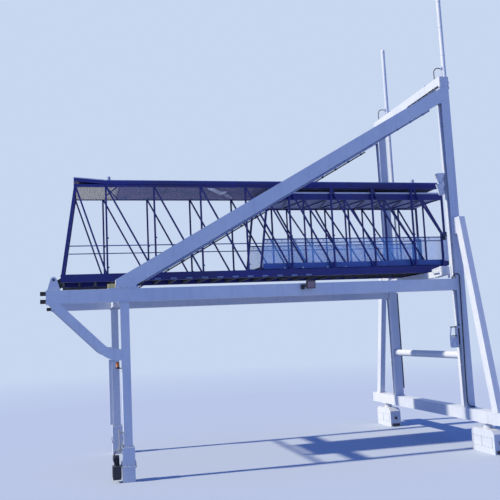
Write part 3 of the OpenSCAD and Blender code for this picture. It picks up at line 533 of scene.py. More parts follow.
def plateBolts(middle, out, half, count):
    # bolts round the edge of a plate that faces out, by its half sizes and its bolts along each edge
    first, second = [axis for axis in range(3) if not out[axis]]
    spots = []
    for i, a in enumerate(evenly(middle[first], half[0], count[0])):
        for j, b in enumerate(evenly(middle[second], half[1], count[1])):
            if i in (0, count[0] - 1) or j in (0, count[1] - 1):
                spot = list(middle)
                spot[first], spot[second] = a, b
                spots.append((spot, out))
    return spots


def ringBolts(middle, out, radius, count=8):
    first, second = [axis for axis in range(3) if not out[axis]]
    spots = []
    for angle in (2 * math.pi * i / count for i in range(count)):
        spot = list(middle)
        spot[first] += radius * math.cos(angle)
        spot[second] += radius * math.sin(angle)
        spots.append((spot, out))
    return spots


# line of the inclined girders: foot, rise per metre and upright depth
girder = {"footX": -5.17, "footZ": 6.115, "rise": 0.5652, "depth": 0.5284, "endX": 6.605}


def girderUnder(x):
    return girder["footZ"] + (x - girder["footX"]) * girder["rise"] - girder["depth"]


# bolted plates of the far side frame, which the near one mirrors: middle, outward side, half sizes
# and number of bolts along each edge
girderMiddle = girderUnder(girder["endX"]) + girder["depth"] / 2
largeBoltPlates = {
    "legFoot": ((-4.93, 2.70, 0.47), up, (0.205, 0.205), (4, 4)),
    "girderSeat": ((-4.965, 2.70, 5.845), up, (0.44, 0.137), (6, 2)),
    "seatTongue": ((-5.30, 2.70, 5.845), up, (0, 0.07), (1, 2)),
    "bogieHead": ((6.77, 3.75, 0.925), down, (0.172, 0.172), (3, 3))}
smallBoltPlates = {
    "legAnkle": ((-4.93, 2.70, 1.035), up, (0.144, 0.138), (4, 4)),
    "legHead": ((-4.93, 2.70, 5.395), down, (0.144, 0.138), (4, 4)),
    "beamRear": ((-7.27, 2.70, 5.62), back, (0.11, 0.15), (2, 3)),
    "beamFront": ((6.58, 2.70, 5.62), back, (0.09, 0.22), (4, 2)),
    "girderFront": ((6.58, 2.70, girderMiddle), back, (0.09, girder["depth"] / 2 + 0.02), (4, 2)),
    "mastFoot": ((6.77, 2.70, 1.365), up, (0.183, 0.12), (2, 4)),
    "strutFoot": ((6.77, 4.39, 1.365), up, (0.13, 0.18), (3, 3)),
    "crossBeamHead": ((6.77, 2.842, 13.03), (0, 1, 0), (0.14, 0.145), (3, 3)),
    "crossBeamHeadMiddle": ((6.77, 2.842, 13.03), (0, 1, 0), (0, 0), (1, 1)),
    "cylinderBracket": ((7.165, 2.41, 13.03), ahead, (0.085, 0.10), (2, 2))}
tieFlange = {"y": 2.488, "z": 3.13, "boltRing": 0.142}


def dressFrameBolts():
    large, small = [], []
    for side in sides:
        for spots, plates in ((large, largeBoltPlates), (small, smallBoltPlates)):
            for (x, y, z), out, half, count in plates.values():
                spots += plateBolts((x, side * y, z), (out[0], side * out[1], out[2]), half, count)
        small += ringBolts((span["mastX"], side * tieFlange["y"], tieFlange["z"]), (0, -side, 0),
                           tieFlange["boltRing"])
    dress("frameBoltsLarge", boltRow(large, 1.0), "galvanisedZinc", "gantry")
    dress("frameBoltsSmall", boltRow(small, 0.62), "galvanisedZinc", "gantry")


dressFrameBolts()


# stiffeners: fins on the foot joints, a back plate and a web in the girder seats
stiffener = {"footTop": 0.47, "finTop": 0.62, "finOut": 0.185, "finFoot": 0.03, "finHead": 0.004,
             "finThickness": 0.012, "finWidth": 0.05, "seatTop": 5.845,
             "backPlate": {"from": -5.19, "to": -5.172, "half": 0.13, "top": 6.10, "edge": 0.003},
             "frontWeb": {"from": -4.559, "to": -4.50, "half": 0.006, "top": 5.93, "edge": 0.002}}


def dressStiffeners():
    webs = []
    for side in sides:
        y = side * span["frameY"]
        for out in (-1, 1):
            x = span["legX"] + out * stiffener["finOut"]
            webs.append(addBar((x + out * stiffener["finFoot"], y, stiffener["footTop"]),
                               (x + out * stiffener["finHead"], y, stiffener["finTop"]),
                               stiffener["finThickness"], stiffener["finWidth"], 0.002))
        for web in (stiffener["backPlate"], stiffener["frontWeb"]):
            webs.append(addBlock((web["from"], y - web["half"], stiffener["seatTop"]),
                                 (web["to"], y + web["half"], web["top"]), web["edge"]))
    dress("footStiffeners", webs, "whiteCoatedSteel", "gantry")


dressStiffeners()


# weld beads along the main seams, 12 mm wide: x and z of their ends on both faces of the frames,
# and on the outer face only
weldBead = {"radius": 0.006, "bothFaces": (((-7.23, 5.42), (-6.88, 5.42)), ((-5.06, 3.63), (-5.06, 3.96)),
                                           ((-5.17, 5.845), (-4.56, 5.845)), ((-5.0, 0.42), (-4.86, 0.42))),
            "outerFace": (((6.66, 7.40), (6.66, 7.97)), ((6.66, 7.97), (6.88, 7.97)))}


def dressWeldBeads():
    beads = []
    for side in sides:
        for face, runs in ((span["faceY"], weldBead["bothFaces"]), (span["beamIn"], weldBead["bothFaces"]),
                           (span["faceY"], weldBead["outerFace"])):
            beads += [addRod((x, side * face, z), (endX, side * face, endZ), weldBead["radius"], 8)
                      for (x, z), (endX, endZ) in runs]
    dress("weldBeads", beads, "whiteCoatedSteel", "gantry")


dressWeldBeads()
print("side frames dressed")


# bogies: bolted inspection covers, end guards and jacking lugs; closed boxes otherwise
bogie = {"x": 6.77, "y": 3.75, "half": 0.65, "halfWidth": 0.23,
         "cover": {"apart": 0.30, "half": 0.23, "low": 0.20, "high": 0.54, "thickness": 0.012},
         "guard": {"half": 0.18, "reach": 0.05, "low": 0.03, "high": 0.13, "edge": 0.02},
         "lug": {"half": 0.05, "reach": 0.06, "low": 0.30, "high": 0.42, "edge": 0.015}}


def dressBogies():
    covers, guards, bolts = [], [], []
    look = bogie["cover"]
    boltZ = (look["low"] + look["high"]) / 2
    for side in sides:
        for out in (-1, 1):
            face = bogie["x"] + out * bogie["halfWidth"]
            outside = face + out * look["thickness"]
            for y in evenly(side * bogie["y"], look["apart"], 2):
                cover = addBlock((face, y - look["half"], look["low"]),
                                 (outside, y + look["half"], look["high"]), 0.003)
                covers.append(insetFaces(cover, (out, 0, 0), 0.04, -0.006))
                bolts += plateBolts((outside, y, boltZ), (out, 0, 0), (look["half"] - 0.02, 0.15), (3, 2))
        for end in (-1, 1):
            y = side * bogie["y"] + end * bogie["half"]
            for stop in (bogie["guard"], bogie["lug"]):
                guards.append(addBlock((bogie["x"] - stop["half"], y, stop["low"]),
                                       (bogie["x"] + stop["half"], y + end * stop["reach"], stop["high"]),
                                       stop["edge"], 2))
    dress("bogieCovers", covers, "whiteCoatedSteel", "gantry")
    dress("bogieGuards", guards, "darkCoatedSteel", "gantry")
    dress("bogieBolts", boltRow(bolts, 0.5), "galvanisedZinc", "gantry")


dressBogies()


# cross beam on the masts: cable run with saddles along its rear face, lifting lugs on top
crossBeam = {"rear": 6.585, "top": 13.22, "runZ": 12.875, "runStart": -2.74, "runEnd": -0.35,
             "runRadius": 0.02, "runOff": 0.022, "saddles": 5, "firstSaddle": -2.5, "saddlePitch": 0.45,
             "lugY": 1.5, "lugHalf": 0.07, "eyeZ": 0.07, "eyeBore": 0.028, "plateHalf": 0.012}


def dressCrossBeam():
    top, half, z, radius = (crossBeam[k] for k in ("top", "plateHalf", "runZ", "runRadius"))
    x = crossBeam["rear"] - crossBeam["runOff"]
    run = addRod((x, crossBeam["runStart"], z), (x, crossBeam["runEnd"], z), radius, 16, 0.004)
    dress("crossBeamCable", [run], "hoseRubber", "gantry")
    saddle = addBlock((-0.004, -0.02, -0.032), (0.043, 0.02, 0.032), 0.006, 2)
    places = [(x - radius, crossBeam["firstSaddle"] + i * crossBeam["saddlePitch"], z)
              for i in range(crossBeam["saddles"])]
    dress("cableSaddles", spread(saddle, places), "galvanisedZinc", "gantry")
    bore, out = crossBeam["eyeBore"], crossBeam["lugHalf"]
    section = [(bore, -half), (out, -half), (out, half), (bore, half), (bore, -half)]
    lugs = []
    x = span["mastX"]
    for y in (-crossBeam["lugY"], crossBeam["lugY"]):
        lugs += [addTurned(section, (x, y, top + crossBeam["eyeZ"]), (0, 1, 0), 24),
                 addBlock((x - out, y - half, top), (x + out, y + half, top + out / 2), 0.003)]
    dress("liftingLugs", lugs, "whiteCoatedSteel", "gantry")


dressCrossBeam()
print("bogies and cross beam dressed")


# warning beacon: fluted amber lens over a cast base, under a wire guard
beacon = {"place": (-5.185, -2.70, 3.398), "radius": 0.063, "height": 0.19, "ribs": 7, "guards": 4,
          "baseHeight": 0.03, "armHalf": 0.05, "wire": 0.003}


def dressBeacon():
    x, y, z = beacon["place"]
    r, h, base = beacon["radius"], beacon["height"], beacon["baseHeight"]
    step = (h - 2 * base) / beacon["ribs"]
    profile = [(0, base)]
    for i in range(beacon["ribs"]):
        profile += [(r * 0.86, base + i * step), (r * 0.94, base + (i + 0.5) * step)]
    profile += [(r * 0.86, h - base), (r * 0.55, h - 0.008), (0, h - 0.004)]
    dress("beaconLens", [addTurned(profile, (x, y, z))], "mouldedAmberAcrylic", "gantry", ("warning_beacon",))
    cup = addTurned([(0, -base), (r, -base), (r, 0.025), (r * 0.92, 0.034), (0, 0.034)], (x, y, z))
    arm = addBlock((x - beacon["armHalf"], y - beacon["armHalf"], z - base),
                   (span["legBack"], y + beacon["armHalf"], z - 0.004), 0.004)
    dress("beaconBase", [cup, arm], "darkCoatedSteel", "gantry")
    wire = addPipe(((r, 0, 0), (r, 0, h * 0.75), (r * 0.75, 0, h - 0.01), (0, 0, h - 0.002)),
                   beacon["wire"], 1)
    part = 2 * math.pi / beacon["guards"]
    turns = [Matrix.Translation((x, y, z)) @ Matrix.Rotation((i + 0.5) * part, 4, "Z")
             for i in range(beacon["guards"])]
    dress("beaconGuard", placeCopies(wire, turns), "galvanisedZinc", "gantry")


dressBeacon()


# floodlight: die-cast body with cooling fins, framed cover glass, steel yoke, control gear box
flood = {"left": 0.95, "width": 0.30, "depth": 0.18, "height": 0.27, "tilt": 14, "fins": 9, "frame": 0.03,
         "pivotY": -2.90, "pivotZ": 5.66, "yoke": 0.014, "yokeLow": 5.69, "yokeHigh": 5.77, "armReach": 0.19,
         "screwY": -2.995, "screwZ": 5.73, "gearLow": 5.61, "gearWidth": 0.11, "gearDepth": 0.09}


def dressFloodlight():
    w, d, h, rim, t = (flood[k] for k in ("width", "depth", "height", "frame", "yoke"))
    left, right, beamFace = flood["left"], flood["left"] + w, -span["faceY"]
    lean = (Matrix.Translation((left, flood["pivotY"], flood["pivotZ"]))
            @ Matrix.Rotation(math.radians(flood["tilt"]), 4, "X"))
    shell = addBlock((0.004, -d + 0.02, 0.01), (w - 0.004, -0.045, h - 0.01), 0.03, 3)
    bezel = insetFaces(addBlock((0, -d, 0), (w, -d + rim, h), 0.006, 2), (0, -1, 0), rim, -0.012)
    fin = addBlock((-0.004, -0.05, rim), (0.004, 0, h - rim), 0.002)
    fins = spread(fin, [(x, 0, 0) for x in evenly(w / 2, w / 2 - rim, flood["fins"])])
    pane = addBlock((0.028, -d + 0.004, 0.028), (w - 0.028, -d + 0.012, h - 0.028), 0.002)
    body = [shell, bezel] + fins
    for piece in body + [pane]:
        piece.data.transform(lean)
    yoke = [addBlock((left - t, beamFace - t, flood["yokeLow"]),
                     (right + t, beamFace, flood["yokeHigh"]), 0.003)]
    for x in (left - t, right):
        yoke.append(addBlock((x, beamFace - flood["armReach"], flood["yokeLow"] + 0.01),
                             (x + t, beamFace, flood["yokeHigh"] - 0.01), 0.004))
        yoke.append(addRod((x - 0.012, flood["screwY"], flood["screwZ"]),
                           (x + t + 0.012, flood["screwY"], flood["screwZ"]), 0.018, 6, 0.002))
    dress("floodBody", body + yoke, "darkCoatedSteel", "gantry", ("floodlight",))
    dress("floodGlass", [pane], "ribbedLampGlass", "gantry")
    gear = addBlock((left - t - flood["gearWidth"], beamFace - flood["gearDepth"], flood["gearLow"]),
                    (left - t, beamFace, flood["yokeHigh"]), 0.008, 2)
    dress("floodGear", [insetFaces(gear, (0, -1, 0), 0.012, -0.004)], "darkCoatedSteel", "gantry")


dressFloodlight()


# control cabinet: folded sheet with a rain hood, door, hinges, latch and glands below
cabinet = {"low": (6.485, -2.81, 3.42), "high": (6.605, -2.65, 4.16), "hood": 0.024,
           "hinges": (3.52, 3.76, 3.99), "hingeHeight": 0.06, "latch": (3.76, 3.88),
           "glands": 3, "glandPitch": 0.04}


def dressCabinet():
    low, high = Vector(cabinet["low"]), Vector(cabinet["high"])
    shell = addBlock(low + Vector((0.014, 0.004, 0.03)), high - Vector((0, 0.004, 0.02)), 0.004)
    hood = addBlock((low.x, low.y, high.z - cabinet["hood"]), high, 0.005)
    door = addBlock(low + Vector((0.002, 0.01, 0.05)), (low.x + 0.016, high.y - 0.01, high.z - 0.04), 0.003)
    flank = addBlock(low + Vector((0.025, 0.001, 0.06)), (high.x - 0.01, low.y + 0.008, high.z - 0.06), 0.002)
    dress("cabinetShell", [shell, hood, insetFaces(door, back, 0.016, -0.004),
                           insetFaces(flank, (0, -1, 0), 0.012, -0.003)],
          "whiteCoatedSteel", "gantry", ("control_cabinet",))
    x, y = low.x + 0.006, low.y + 0.012
    trim = [addRod((x, y, z), (x, y, z + cabinet["hingeHeight"]), 0.006, 10, 0.001) for z in cabinet["hinges"]]
    trim.append(addBlock((low.x, high.y - 0.035, cabinet["latch"][0]),
                         (x, high.y - 0.022, cabinet["latch"][1]), 0.002))
    gland = addRod((0, 0, 0), (0, 0, 0.032), 0.012, 6, 0.002)
    trim += spread(gland, [(low.x + 0.06, low.y + (i + 1) * cabinet["glandPitch"], low.z)
                           for i in range(cabinet["glands"])])
    dress("cabinetFittings", trim, "galvanisedZinc", "gantry")


dressCabinet()


# bent tube guard that stands out from the cabinet, with its infill sheet and two dark clamps
cabinetGuard = {"y": -2.74, "tube": 0.018, "out": 6.24, "back": 6.50, "low": 3.43, "mid": 3.82, "top": 4.13}


def dressCabinetGuard():
    y, out, rear, low, mid, top = (cabinetGuard[k] for k in ("y", "out", "back", "low", "mid", "top"))
    route = [(x, y, z) for x, z in (
        (rear, low), (out + 0.04, low), (out + 0.01, low + 0.01), (out, low + 0.04), (out + 0.005, mid),
        (out + 0.03, mid + 0.12), (out + 0.06, top - 0.04), (out + 0.09, top), (rear, top))]
    dress("cabinetGuard", [addPipe(route, cabinetGuard["tube"], 1)], "whiteCoatedSteel", "gantry")
    sheet = addBlock((out + 0.012, y - 0.004, low + 0.008), (rear - 0.004, y + 0.004, mid - 0.03), 0.0015)
    dress("cabinetGuardSheet", [insetFaces(sheet, (0, -1, 0), 0.02, -0.002)], "foldedTrimAluminium", "gantry")
    clamps = [addBlock((out + 0.03, y - 0.022, z - 0.018), (rear, y + 0.022, z + 0.018), 0.006, 2)
              for z in (mid, top)]
    dress("cabinetGuardClamps", clamps, "darkCoatedSteel", "gantry")


dressCabinetGuard()


# siren: two spun bells opening upwards on strap brackets
siren = {"place": (6.405, -2.63, 8.85), "radius": 0.19, "height": 0.77, "strapHalf": 0.02}


def dressSiren():
    x, y, z = siren["place"]
    r, h, half = siren["radius"], siren["height"], siren["strapHalf"]
    n, m = r * 0.5, h / 2
    outside = [(0, 0), (n * 0.8, 0), (n, 0.03), (n * 1.05, m * 0.45), (r * 0.88, m - 0.03), (r * 0.93, m),
               (r * 0.84, m + 0.004), (n * 0.9, m + 0.01), (n * 0.9, m + 0.06), (n * 1.1, m + 0.15),
               (r * 0.93, h - 0.05), (r, h - 0.012), (r, h)]
    inside = [(r - 0.01, h - 0.001), (r * 0.86, h - 0.05), (n, m + 0.16), (n * 0.7, m + 0.1), (0, m + 0.1)]
    bells = [addTurned(outside + inside, (x, y, z), steps=36)]
    for start, low, high in ((n * 0.9, m - half, m + half), (n * 0.6, 0.05, 0.08)):
        bells.append(addBlock((x + start, y - half, z + low), (span["mastBack"], y + half, z + high), 0.004))
    dress("sirenBells", bells, "whiteCoatedSteel", "gantry", ("warning_siren",))
    driver = addTurned([(0, 0), (0.045, 0), (0.05, 0.01), (0.05, 0.05), (0.03, 0.075), (0, 0.08)],
                       (x, y, z + m + 0.095))
    dress("sirenDriver", [driver], "darkCoatedSteel", "gantry")


dressSiren()


# cable tray on the far mast: folded channel with a hanging chain of link plates and pale clips
tray = {"x": 6.935, "y": 2.70, "low": 1.615, "high": 5.67, "half": 0.08, "plate": 0.01, "lip": 0.006,
        "lipHeight": 0.045, "link": 0.10, "clips": (5.56, 5.38, 5.22, 4.5, 3.86, 3.65, 3.44, 2.4)}


def dressCableTray():
    x, y, half, low, high = (tray[k] for k in ("x", "y", "half", "low", "high"))
    channel = [addBlock((x, y - half, low), (x + tray["plate"], y + half, high), 0.002)]
    for dy in (-half, half - tray["lip"]):
        channel.append(addBlock((x, y + dy, low), (x + tray["lipHeight"], y + dy + tray["lip"], high), 0.002))
    dress("cableTrayChannel", channel, "greyCoatedSteel", "gantry")
    # one link: two cheeks, two cross bars and their pins
    link = [addBlock((0.012, dy, 0), (0.125, dy + 0.007, 0.112), 0.003) for dy in (-half + 0.02, half - 0.027)]
    link += [addBlock((dx, -half + 0.027, 0.03), (dx + 0.008, half - 0.027, 0.075), 0.002)
             for dx in (0.02, 0.112)]
    link += [addRod((0.068, dy, 0.05), (0.068, dy + 0.004, 0.05), 0.014, 12)
             for dy in (-half + 0.016, half - 0.02)]
    count = int((high - low - 0.05) / tray["link"])
    chain = spread(joinPieces(*link), [(x, y, low + 0.02 + i * tray["link"]) for i in range(count)])
    dress("cableChain", chain, "darkCoatedSteel", "gantry", ("cable_tray",))
    clip = addBlock((-0.002, -half - 0.014, -0.025), (0.05, -half + 0.004, 0.025), 0.004)
    dress("trayClips", spread(clip, [(x, y, z) for z in tray["clips"]]), "foldedTrimAluminium", "gantry")


dressCableTray()


# hydraulic unit by the near foot: ribbed tank, motor, valve block, three risers in clamps and bent pipes
unit = {"low": (-5.415, -2.85, 0.09), "high": (-5.155, -2.55, 0.79), "y": -2.70, "tankHeight": 0.40,
        "motorX": -5.285, "motorBase": 0.48, "fins": 16, "valveX": -5.185, "riserPitch": 0.09,
        "clamps": (1.07, 1.44), "pipeX": -5.30, "pipeLow": 0.48, "pipeRise": 0.45, "pipeRadius": 0.011,
        "pipes": ((-0.10, 0.07), (0.03, 0.09), (0.11, 0.06))}  # y from the middle, and bulge


def dressHydraulicTank():
    low, high, y = Vector(unit["low"]), Vector(unit["high"]), unit["y"]
    tank = addBlock((low.x, low.y, low.z + 0.05), (high.x, high.y, low.z + unit["tankHeight"]), 0.012, 2)
    for face in (back, (0, -1, 0)):
        insetFaces(tank, face, 0.03, -0.008)
    skid = addBlock((low.x + 0.01, -0.02, low.z), (high.x - 0.01, 0.02, low.z + 0.06), 0.004)
    motor = addTurned([(0, 0), (0.08, 0), (0.08, 0.02), (0.066, 0.03), (0.066, 0.25), (0.08, 0.26),
                       (0.08, 0.30), (0.05, 0.32), (0, 0.32)], (unit["motorX"], y, unit["motorBase"]))
    fin = addBlock((0.064, -0.002, 0.035), (0.082, 0.002, 0.245), 0.001)
    turns = [Matrix.Translation((unit["motorX"], y, unit["motorBase"]))
             @ Matrix.Rotation(2 * math.pi * i / unit["fins"], 4, "Z") for i in range(unit["fins"])]
    parts = [tank, motor] + placeCopies(fin, turns)
    parts += spread(skid, [(0, low.y + 0.05, 0), (0, high.y - 0.05, 0)])
    dress("hydraulicTank", parts, "darkCoatedSteel", "gantry", ("hydraulic_unit",))


def dressHydraulicValves():
    x, y = unit["valveX"], unit["y"]
    block = insetFaces(addBlock((x - 0.03, y - 0.12, 0.86), (x + 0.03, y + 0.12, 1.00), 0.005, 2),
                       back, 0.012, -0.003)
    riser = addTurned([(0, 1.0), (0.026, 1.0), (0.026, 1.03), (0.017, 1.035), (0.017, 1.49), (0.026, 1.50),
                       (0.026, 1.54), (0, 1.54)], steps=20)
    valve = addTurned([(0, 0), (0.022, 0), (0.022, 0.05), (0.013, 0.055), (0.013, 0.08), (0, 0.08)],
                      direction=back, steps=20)
    clamp = addBlock((x - 0.02, y - 0.11, 0), (span["legBack"], y + 0.11, 0.03), 0.004)
    foot = addBlock((x + 0.028, y - 0.06, 0.90), (-5.114, y + 0.06, 0.96), 0.004)
    rows = evenly(y, unit["riserPitch"], 3)
    valves = [block, foot] + spread(riser, [(x, row, 0) for row in rows])
    valves += spread(valve, [(x - 0.03, row, 0.93) for row in rows])
    valves += spread(clamp, [(0, 0, z) for z in unit["clamps"]])
    dress("hydraulicValves", valves, "galvanisedZinc", "gantry")


def dressHydraulicPipes():
    pipes, steps = [], 14
    for dy, bulge in unit["pipes"]:
        route = [(unit["pipeX"] - bulge * math.sin(math.pi * t / steps), unit["y"] + dy * (1 - t / 50),
                  unit["pipeLow"] + unit["pipeRise"] * t / steps) for t in range(steps)]
        route.append((unit["pipeX"] + 0.04, unit["y"] + dy * 0.75, unit["pipeLow"] + unit["pipeRise"]))
        pipes.append(addPipe(route, unit["pipeRadius"]))
    dress("hydraulicPipes", pipes, "darkCoatedSteel", "gantry")


dressHydraulicTank()
dressHydraulicValves()
dressHydraulicPipes()
print("fittings made")


# far girder's cable run under it on saddles, like the near one's
farRun = {"y": 2.76, "startX": -4.20, "endX": 6.05, "radius": 0.026, "drop": 0.05, "clips": 17,
          "clipInset": 0.2}


def dressFarGirder():
    def below(x):
        return Vector((x, farRun["y"], girderUnder(x) - farRun["drop"]))

    start, end = farRun["startX"], farRun["endX"]
    run = addRod(below(start), below(end), farRun["radius"], 16, 0.004)
    dress("farGirderRun", [run], "hoseRubber", "gantry")
    slope = Matrix.Rotation(-math.atan(girder["rise"]), 4, "Y")
    clip = addBlock((-0.025, -0.055, -0.035), (0.025, 0.055, 0.052), 0.006)
    places = evenly((start + end) / 2, (end - start) / 2 - farRun["clipInset"], farRun["clips"])
    dress("farGirderClips", placeCopies(clip, [Matrix.Translation(below(x)) @ slope for x in places]),
          "darkCoatedSteel", "gantry")


dressFarGirder()


# lift cylinders: clamp bands up the barrel, gland bolts, hose ends on the cross beam and the ports
lift = {"bands": (10.10, 11.2, 12.3, 14.2, 15.3, 16.30), "glandZ": 9.92, "glandRing": 0.09, "hoseX": 6.64,
        "portX": 6.936, "portZ": 13.70}


def dressCylinders():
    band = addTurned([(0.079, 0), (0.087, 0.004), (0.087, 0.036), (0.079, 0.04)], steps=36)
    places = [(span["barrelX"], side * span["barrelY"], z) for side in sides for z in lift["bands"]]
    dress("cylinderBands", spread(band, places), "whiteCoatedSteel", "gantry")
    bolts, ends = [], []
    for y in (-span["barrelY"], span["barrelY"]):
        bolts += ringBolts((span["barrelX"], y, lift["glandZ"]), down, lift["glandRing"])
        ends.append(addRod((lift["hoseX"], y, span["mastTop"]), (lift["hoseX"], y, span["mastTop"] + 0.05),
                           0.026, 6, 0.003))
        ends.append(addRod((lift["portX"] - 0.031, y, lift["portZ"]), (lift["portX"], y, lift["portZ"]),
                           0.025, 6, 0.003))
    dress("glandBolts", boltRow(bolts, 0.4), "galvanisedZinc", "gantry")
    dress("hoseFittings", ends, "galvanisedZinc", "gantry")


dressCylinders()
print("cylinders dressed")


# outer tunnel: small crossed braces under the roof, post clips, roof seams, and pale strips along the roof
# edges that paint their highlight
outer = {"posts": 8, "postY": 1.15, "clipZ": (7.65, 6.66), "seamPitch": 0.54, "seamInset": 0.2,
         "braceWidth": 0.035, "braces": (((0.02, 9.10), (0.40, 9.42)), ((0.03, 9.38), (0.39, 8.97))),
         "highlightLift": 0.084}


def dressOuterTunnel():
    first, half, eaves = span["firstPost"], span["roofHalf"], span["eaves"]
    ridge, y, width = eaves + span["camber"], -outer["postY"], outer["braceWidth"]
    braces = [addBar((first + x, y, z), (first + endX, y, endZ), width, width)
              for (x, z), (endX, endZ) in outer["braces"]]
    dress("outerKneeBraces", braces, "navyCoatedSteel", "outer_tunnel")
    clip = addBlock((0.028, -0.022, -0.022), (0.066, 0.022, 0.022), 0.007, 2)
    places = [(first + i * span["bay"], side * outer["postY"], z) for i in range(outer["posts"])
              for side in sides for z in outer["clipZ"]]
    dress("postClips", spread(clip, places), "navyCoatedSteel", "outer_tunnel")
    count = int((span["tunnelEnd"] - first - outer["seamInset"] - 0.1) / outer["seamPitch"]) + 1
    seams = []
    for side in sides:
        seam = addBar((0, side * (half - 0.004), eaves + 0.004), (0, 0, ridge + 0.004), 0.016, 0.02)
        seams += spread(seam, [(first + outer["seamInset"] + i * outer["seamPitch"], 0, 0)
                               for i in range(count)])
    dress("roofSeams", seams, "navyCoatedSteel", "outer_tunnel")
    # a lighter blue strip along each eave, painted highlight on the roof edge
    edgeHighlightStrip = addBlock((first, -0.004, -0.03), (span["tunnelEnd"], 0.004, 0.004), 0.002)
    dress("roofEdgeHighlightStrips", spread(edgeHighlightStrip, [(0, side * half, eaves) for side in sides]), "railCoatedTube",
          "outer_tunnel")
    # pale strips round the rear roof panel's edge, painted highlight where the edge catches the light
    rear, lifted = span["rearTop"], eaves + outer["highlightLift"]
    edges = [addBar((rear + 0.01, -half, lifted), (first - 0.01, -half, eaves), 0.02, 0.03, 0.004),
             addBar((rear, -half, lifted + 0.004), (rear, 0, ridge), 0.02, 0.02, 0.004)]
    dress("rearEdgeHighlightStrips", edges, "foldedTrimAluminium", "outer_tunnel")


dressOuterTunnel()


# two lengths of seal strip torn from a ceiling joint: x, y and half the depth that each point hangs down
sealStrips = {"ceiling": 9.404, "thickness": 0.004, "runs": (
    ((-1.83, -1.12, 0.020), (-1.75, -1.12, 0.046), (-1.63, -1.09, 0.062), (-1.48, -0.94, 0.068),
     (-1.33, -0.70, 0.072), (-1.19, -0.50, 0.066), (-1.09, -0.50, 0.040), (-0.99, -0.54, 0.018)),
    ((-1.06, -0.20, 0.022), (-0.96, -0.11, 0.050), (-0.86, -0.06, 0.058), (-0.73, 0.14, 0.070),
     (-0.61, 0.42, 0.046)))}


def makeSealStrip(run):
    # a short upright edge drawn along the run, opening and closing with the depth of the strip
    route = [Vector((x, y, sealStrips["ceiling"] - depth)) for x, y, depth in run]
    bpy.ops.mesh.primitive_plane_add(size=2 * run[0][2], location=route[0])
    strip = bpy.context.object
    bpy.ops.object.transform_apply(location=True, rotation=True, scale=True)
    bpy.ops.object.mode_set(mode="EDIT")
    bpy.ops.mesh.select_mode(type="EDGE")
    bpy.ops.mesh.select_all(action="DESELECT")
    bpy.ops.object.mode_set(mode="OBJECT")
    for edge in strip.data.edges:
        ends = [strip.data.vertices[v].co for v in edge.vertices]
        edge.select = all(end.y > route[0].y for end in ends)
    bpy.ops.object.mode_set(mode="EDIT")
    bpy.ops.transform.rotate(value=math.radians(90), orient_axis="Y", center_override=tuple(route[0]))
    for i in range(1, len(route)):
        bpy.ops.mesh.extrude_region_move(TRANSFORM_OT_translate={"value": tuple(route[i] - route[i - 1])})
        change = run[i][2] / run[i - 1][2]
        bpy.ops.transform.resize(value=(change, change, change), center_override=tuple(route[i]))
    bpy.ops.object.mode_set(mode="OBJECT")
    selectOnly(strip)
    for kind, setting, value in (("SUBSURF", "levels", 2), ("SOLIDIFY", "thickness", sealStrips["thickness"])):
        modifier = strip.modifiers.new("shaping", kind)
        setattr(modifier, setting, value)
        bpy.ops.object.modifier_apply(modifier=modifier.name)
    bpy.ops.object.shade_smooth_by_angle(angle=math.radians(50))
    return strip


dress("tornSealStrip", [makeSealStrip(run) for run in sealStrips["runs"]], "bleachedSealStrip", "outer_tunnel")
print("outer tunnel dressed")


# inner tunnel: pale ceiling sheet with zigzag bracing, glass clamps, studs and screws of the boards
inner = {"ceilingStart": 0.36, "ceilingEnd": 7.30, "ceilingHalf": 0.995, "sheet": 0.014, "braces": 9,
         "braceDrop": 0.034, "braceWidth": 0.04, "studs": (0.87, 1.562, 2.501, 3.195), "studZ": 6.505,
         "firstScrew": 0.30, "screws": 18, "screwPitch": 0.4, "screwZ": (6.50, 6.66),
         "clamps": 13, "clampPitch": 0.533, "clampY": 0.992, "clampZ": (6.60, 7.47)}


def dressInnerTunnel():
    start, end, ceiling = inner["ceilingStart"], inner["ceilingEnd"], span["innerCeiling"]
    sheet = addBlock((start, -inner["ceilingHalf"], ceiling - inner["sheet"]),
                     (end, inner["ceilingHalf"], ceiling), 0.002)
    dress("innerCeilingSheet", [sheet], "paleCeilingSheet", "inner_tunnel")
    z, step, width = ceiling - inner["braceDrop"], (end - start) / inner["braces"], inner["braceWidth"]
    pair = [addBar((start, -1.0, z), (start + step / 2, 1.0, z), width, width),
            addBar((start + step / 2, 1.0, z), (start + step, -1.0, z), width, width)]
    zigzag = spread(joinPieces(*pair), [(i * step, 0, 0) for i in range(inner["braces"])])
    dress("innerRoofBracing", zigzag, "navyCoatedSteel", "inner_tunnel")
    studs = [((x, side * span["innerY"], inner["studZ"]), (0, side, 0))
             for side in sides for x in inner["studs"]]
    dress("boardStuds", boltRow(studs, 1.25), "foldedTrimAluminium", "inner_tunnel")
    screws = [((inner["firstScrew"] + i * inner["screwPitch"], side * span["innerY"], z), (0, side, 0))
              for side in sides for i in range(inner["screws"]) for z in inner["screwZ"]]
    dress("boardScrews", boltRow(screws, 0.35), "galvanisedZinc", "inner_tunnel")
    clamp = addBlock((-0.02, -0.016, 0), (0.02, 0.010, 0.05), 0.004)
    places = [(inner["firstScrew"] + i * inner["clampPitch"], side * inner["clampY"], z)
              for side in sides for i in range(inner["clamps"]) for z in inner["clampZ"]]
    dress("glassClamps", spread(clamp, places), "galvanisedZinc", "inner_tunnel")


dressInnerTunnel()


# fittings at the inner tunnel's front end: roller boxes above, plates below, a panel on the far parapet
frontEnd = {"back": 7.315, "front": 7.375, "boxLow": 7.46, "boxHigh": 7.56, "plateLow": 6.70,
            "plateHigh": 6.80, "boxReach": 0.03, "plateReach": 0.02, "rollerReach": 0.045,
            "rollerRadius": 0.035, "panelLow": (6.10, 0.955, 6.60), "panelHigh": (7.30, 0.975, 6.93)}


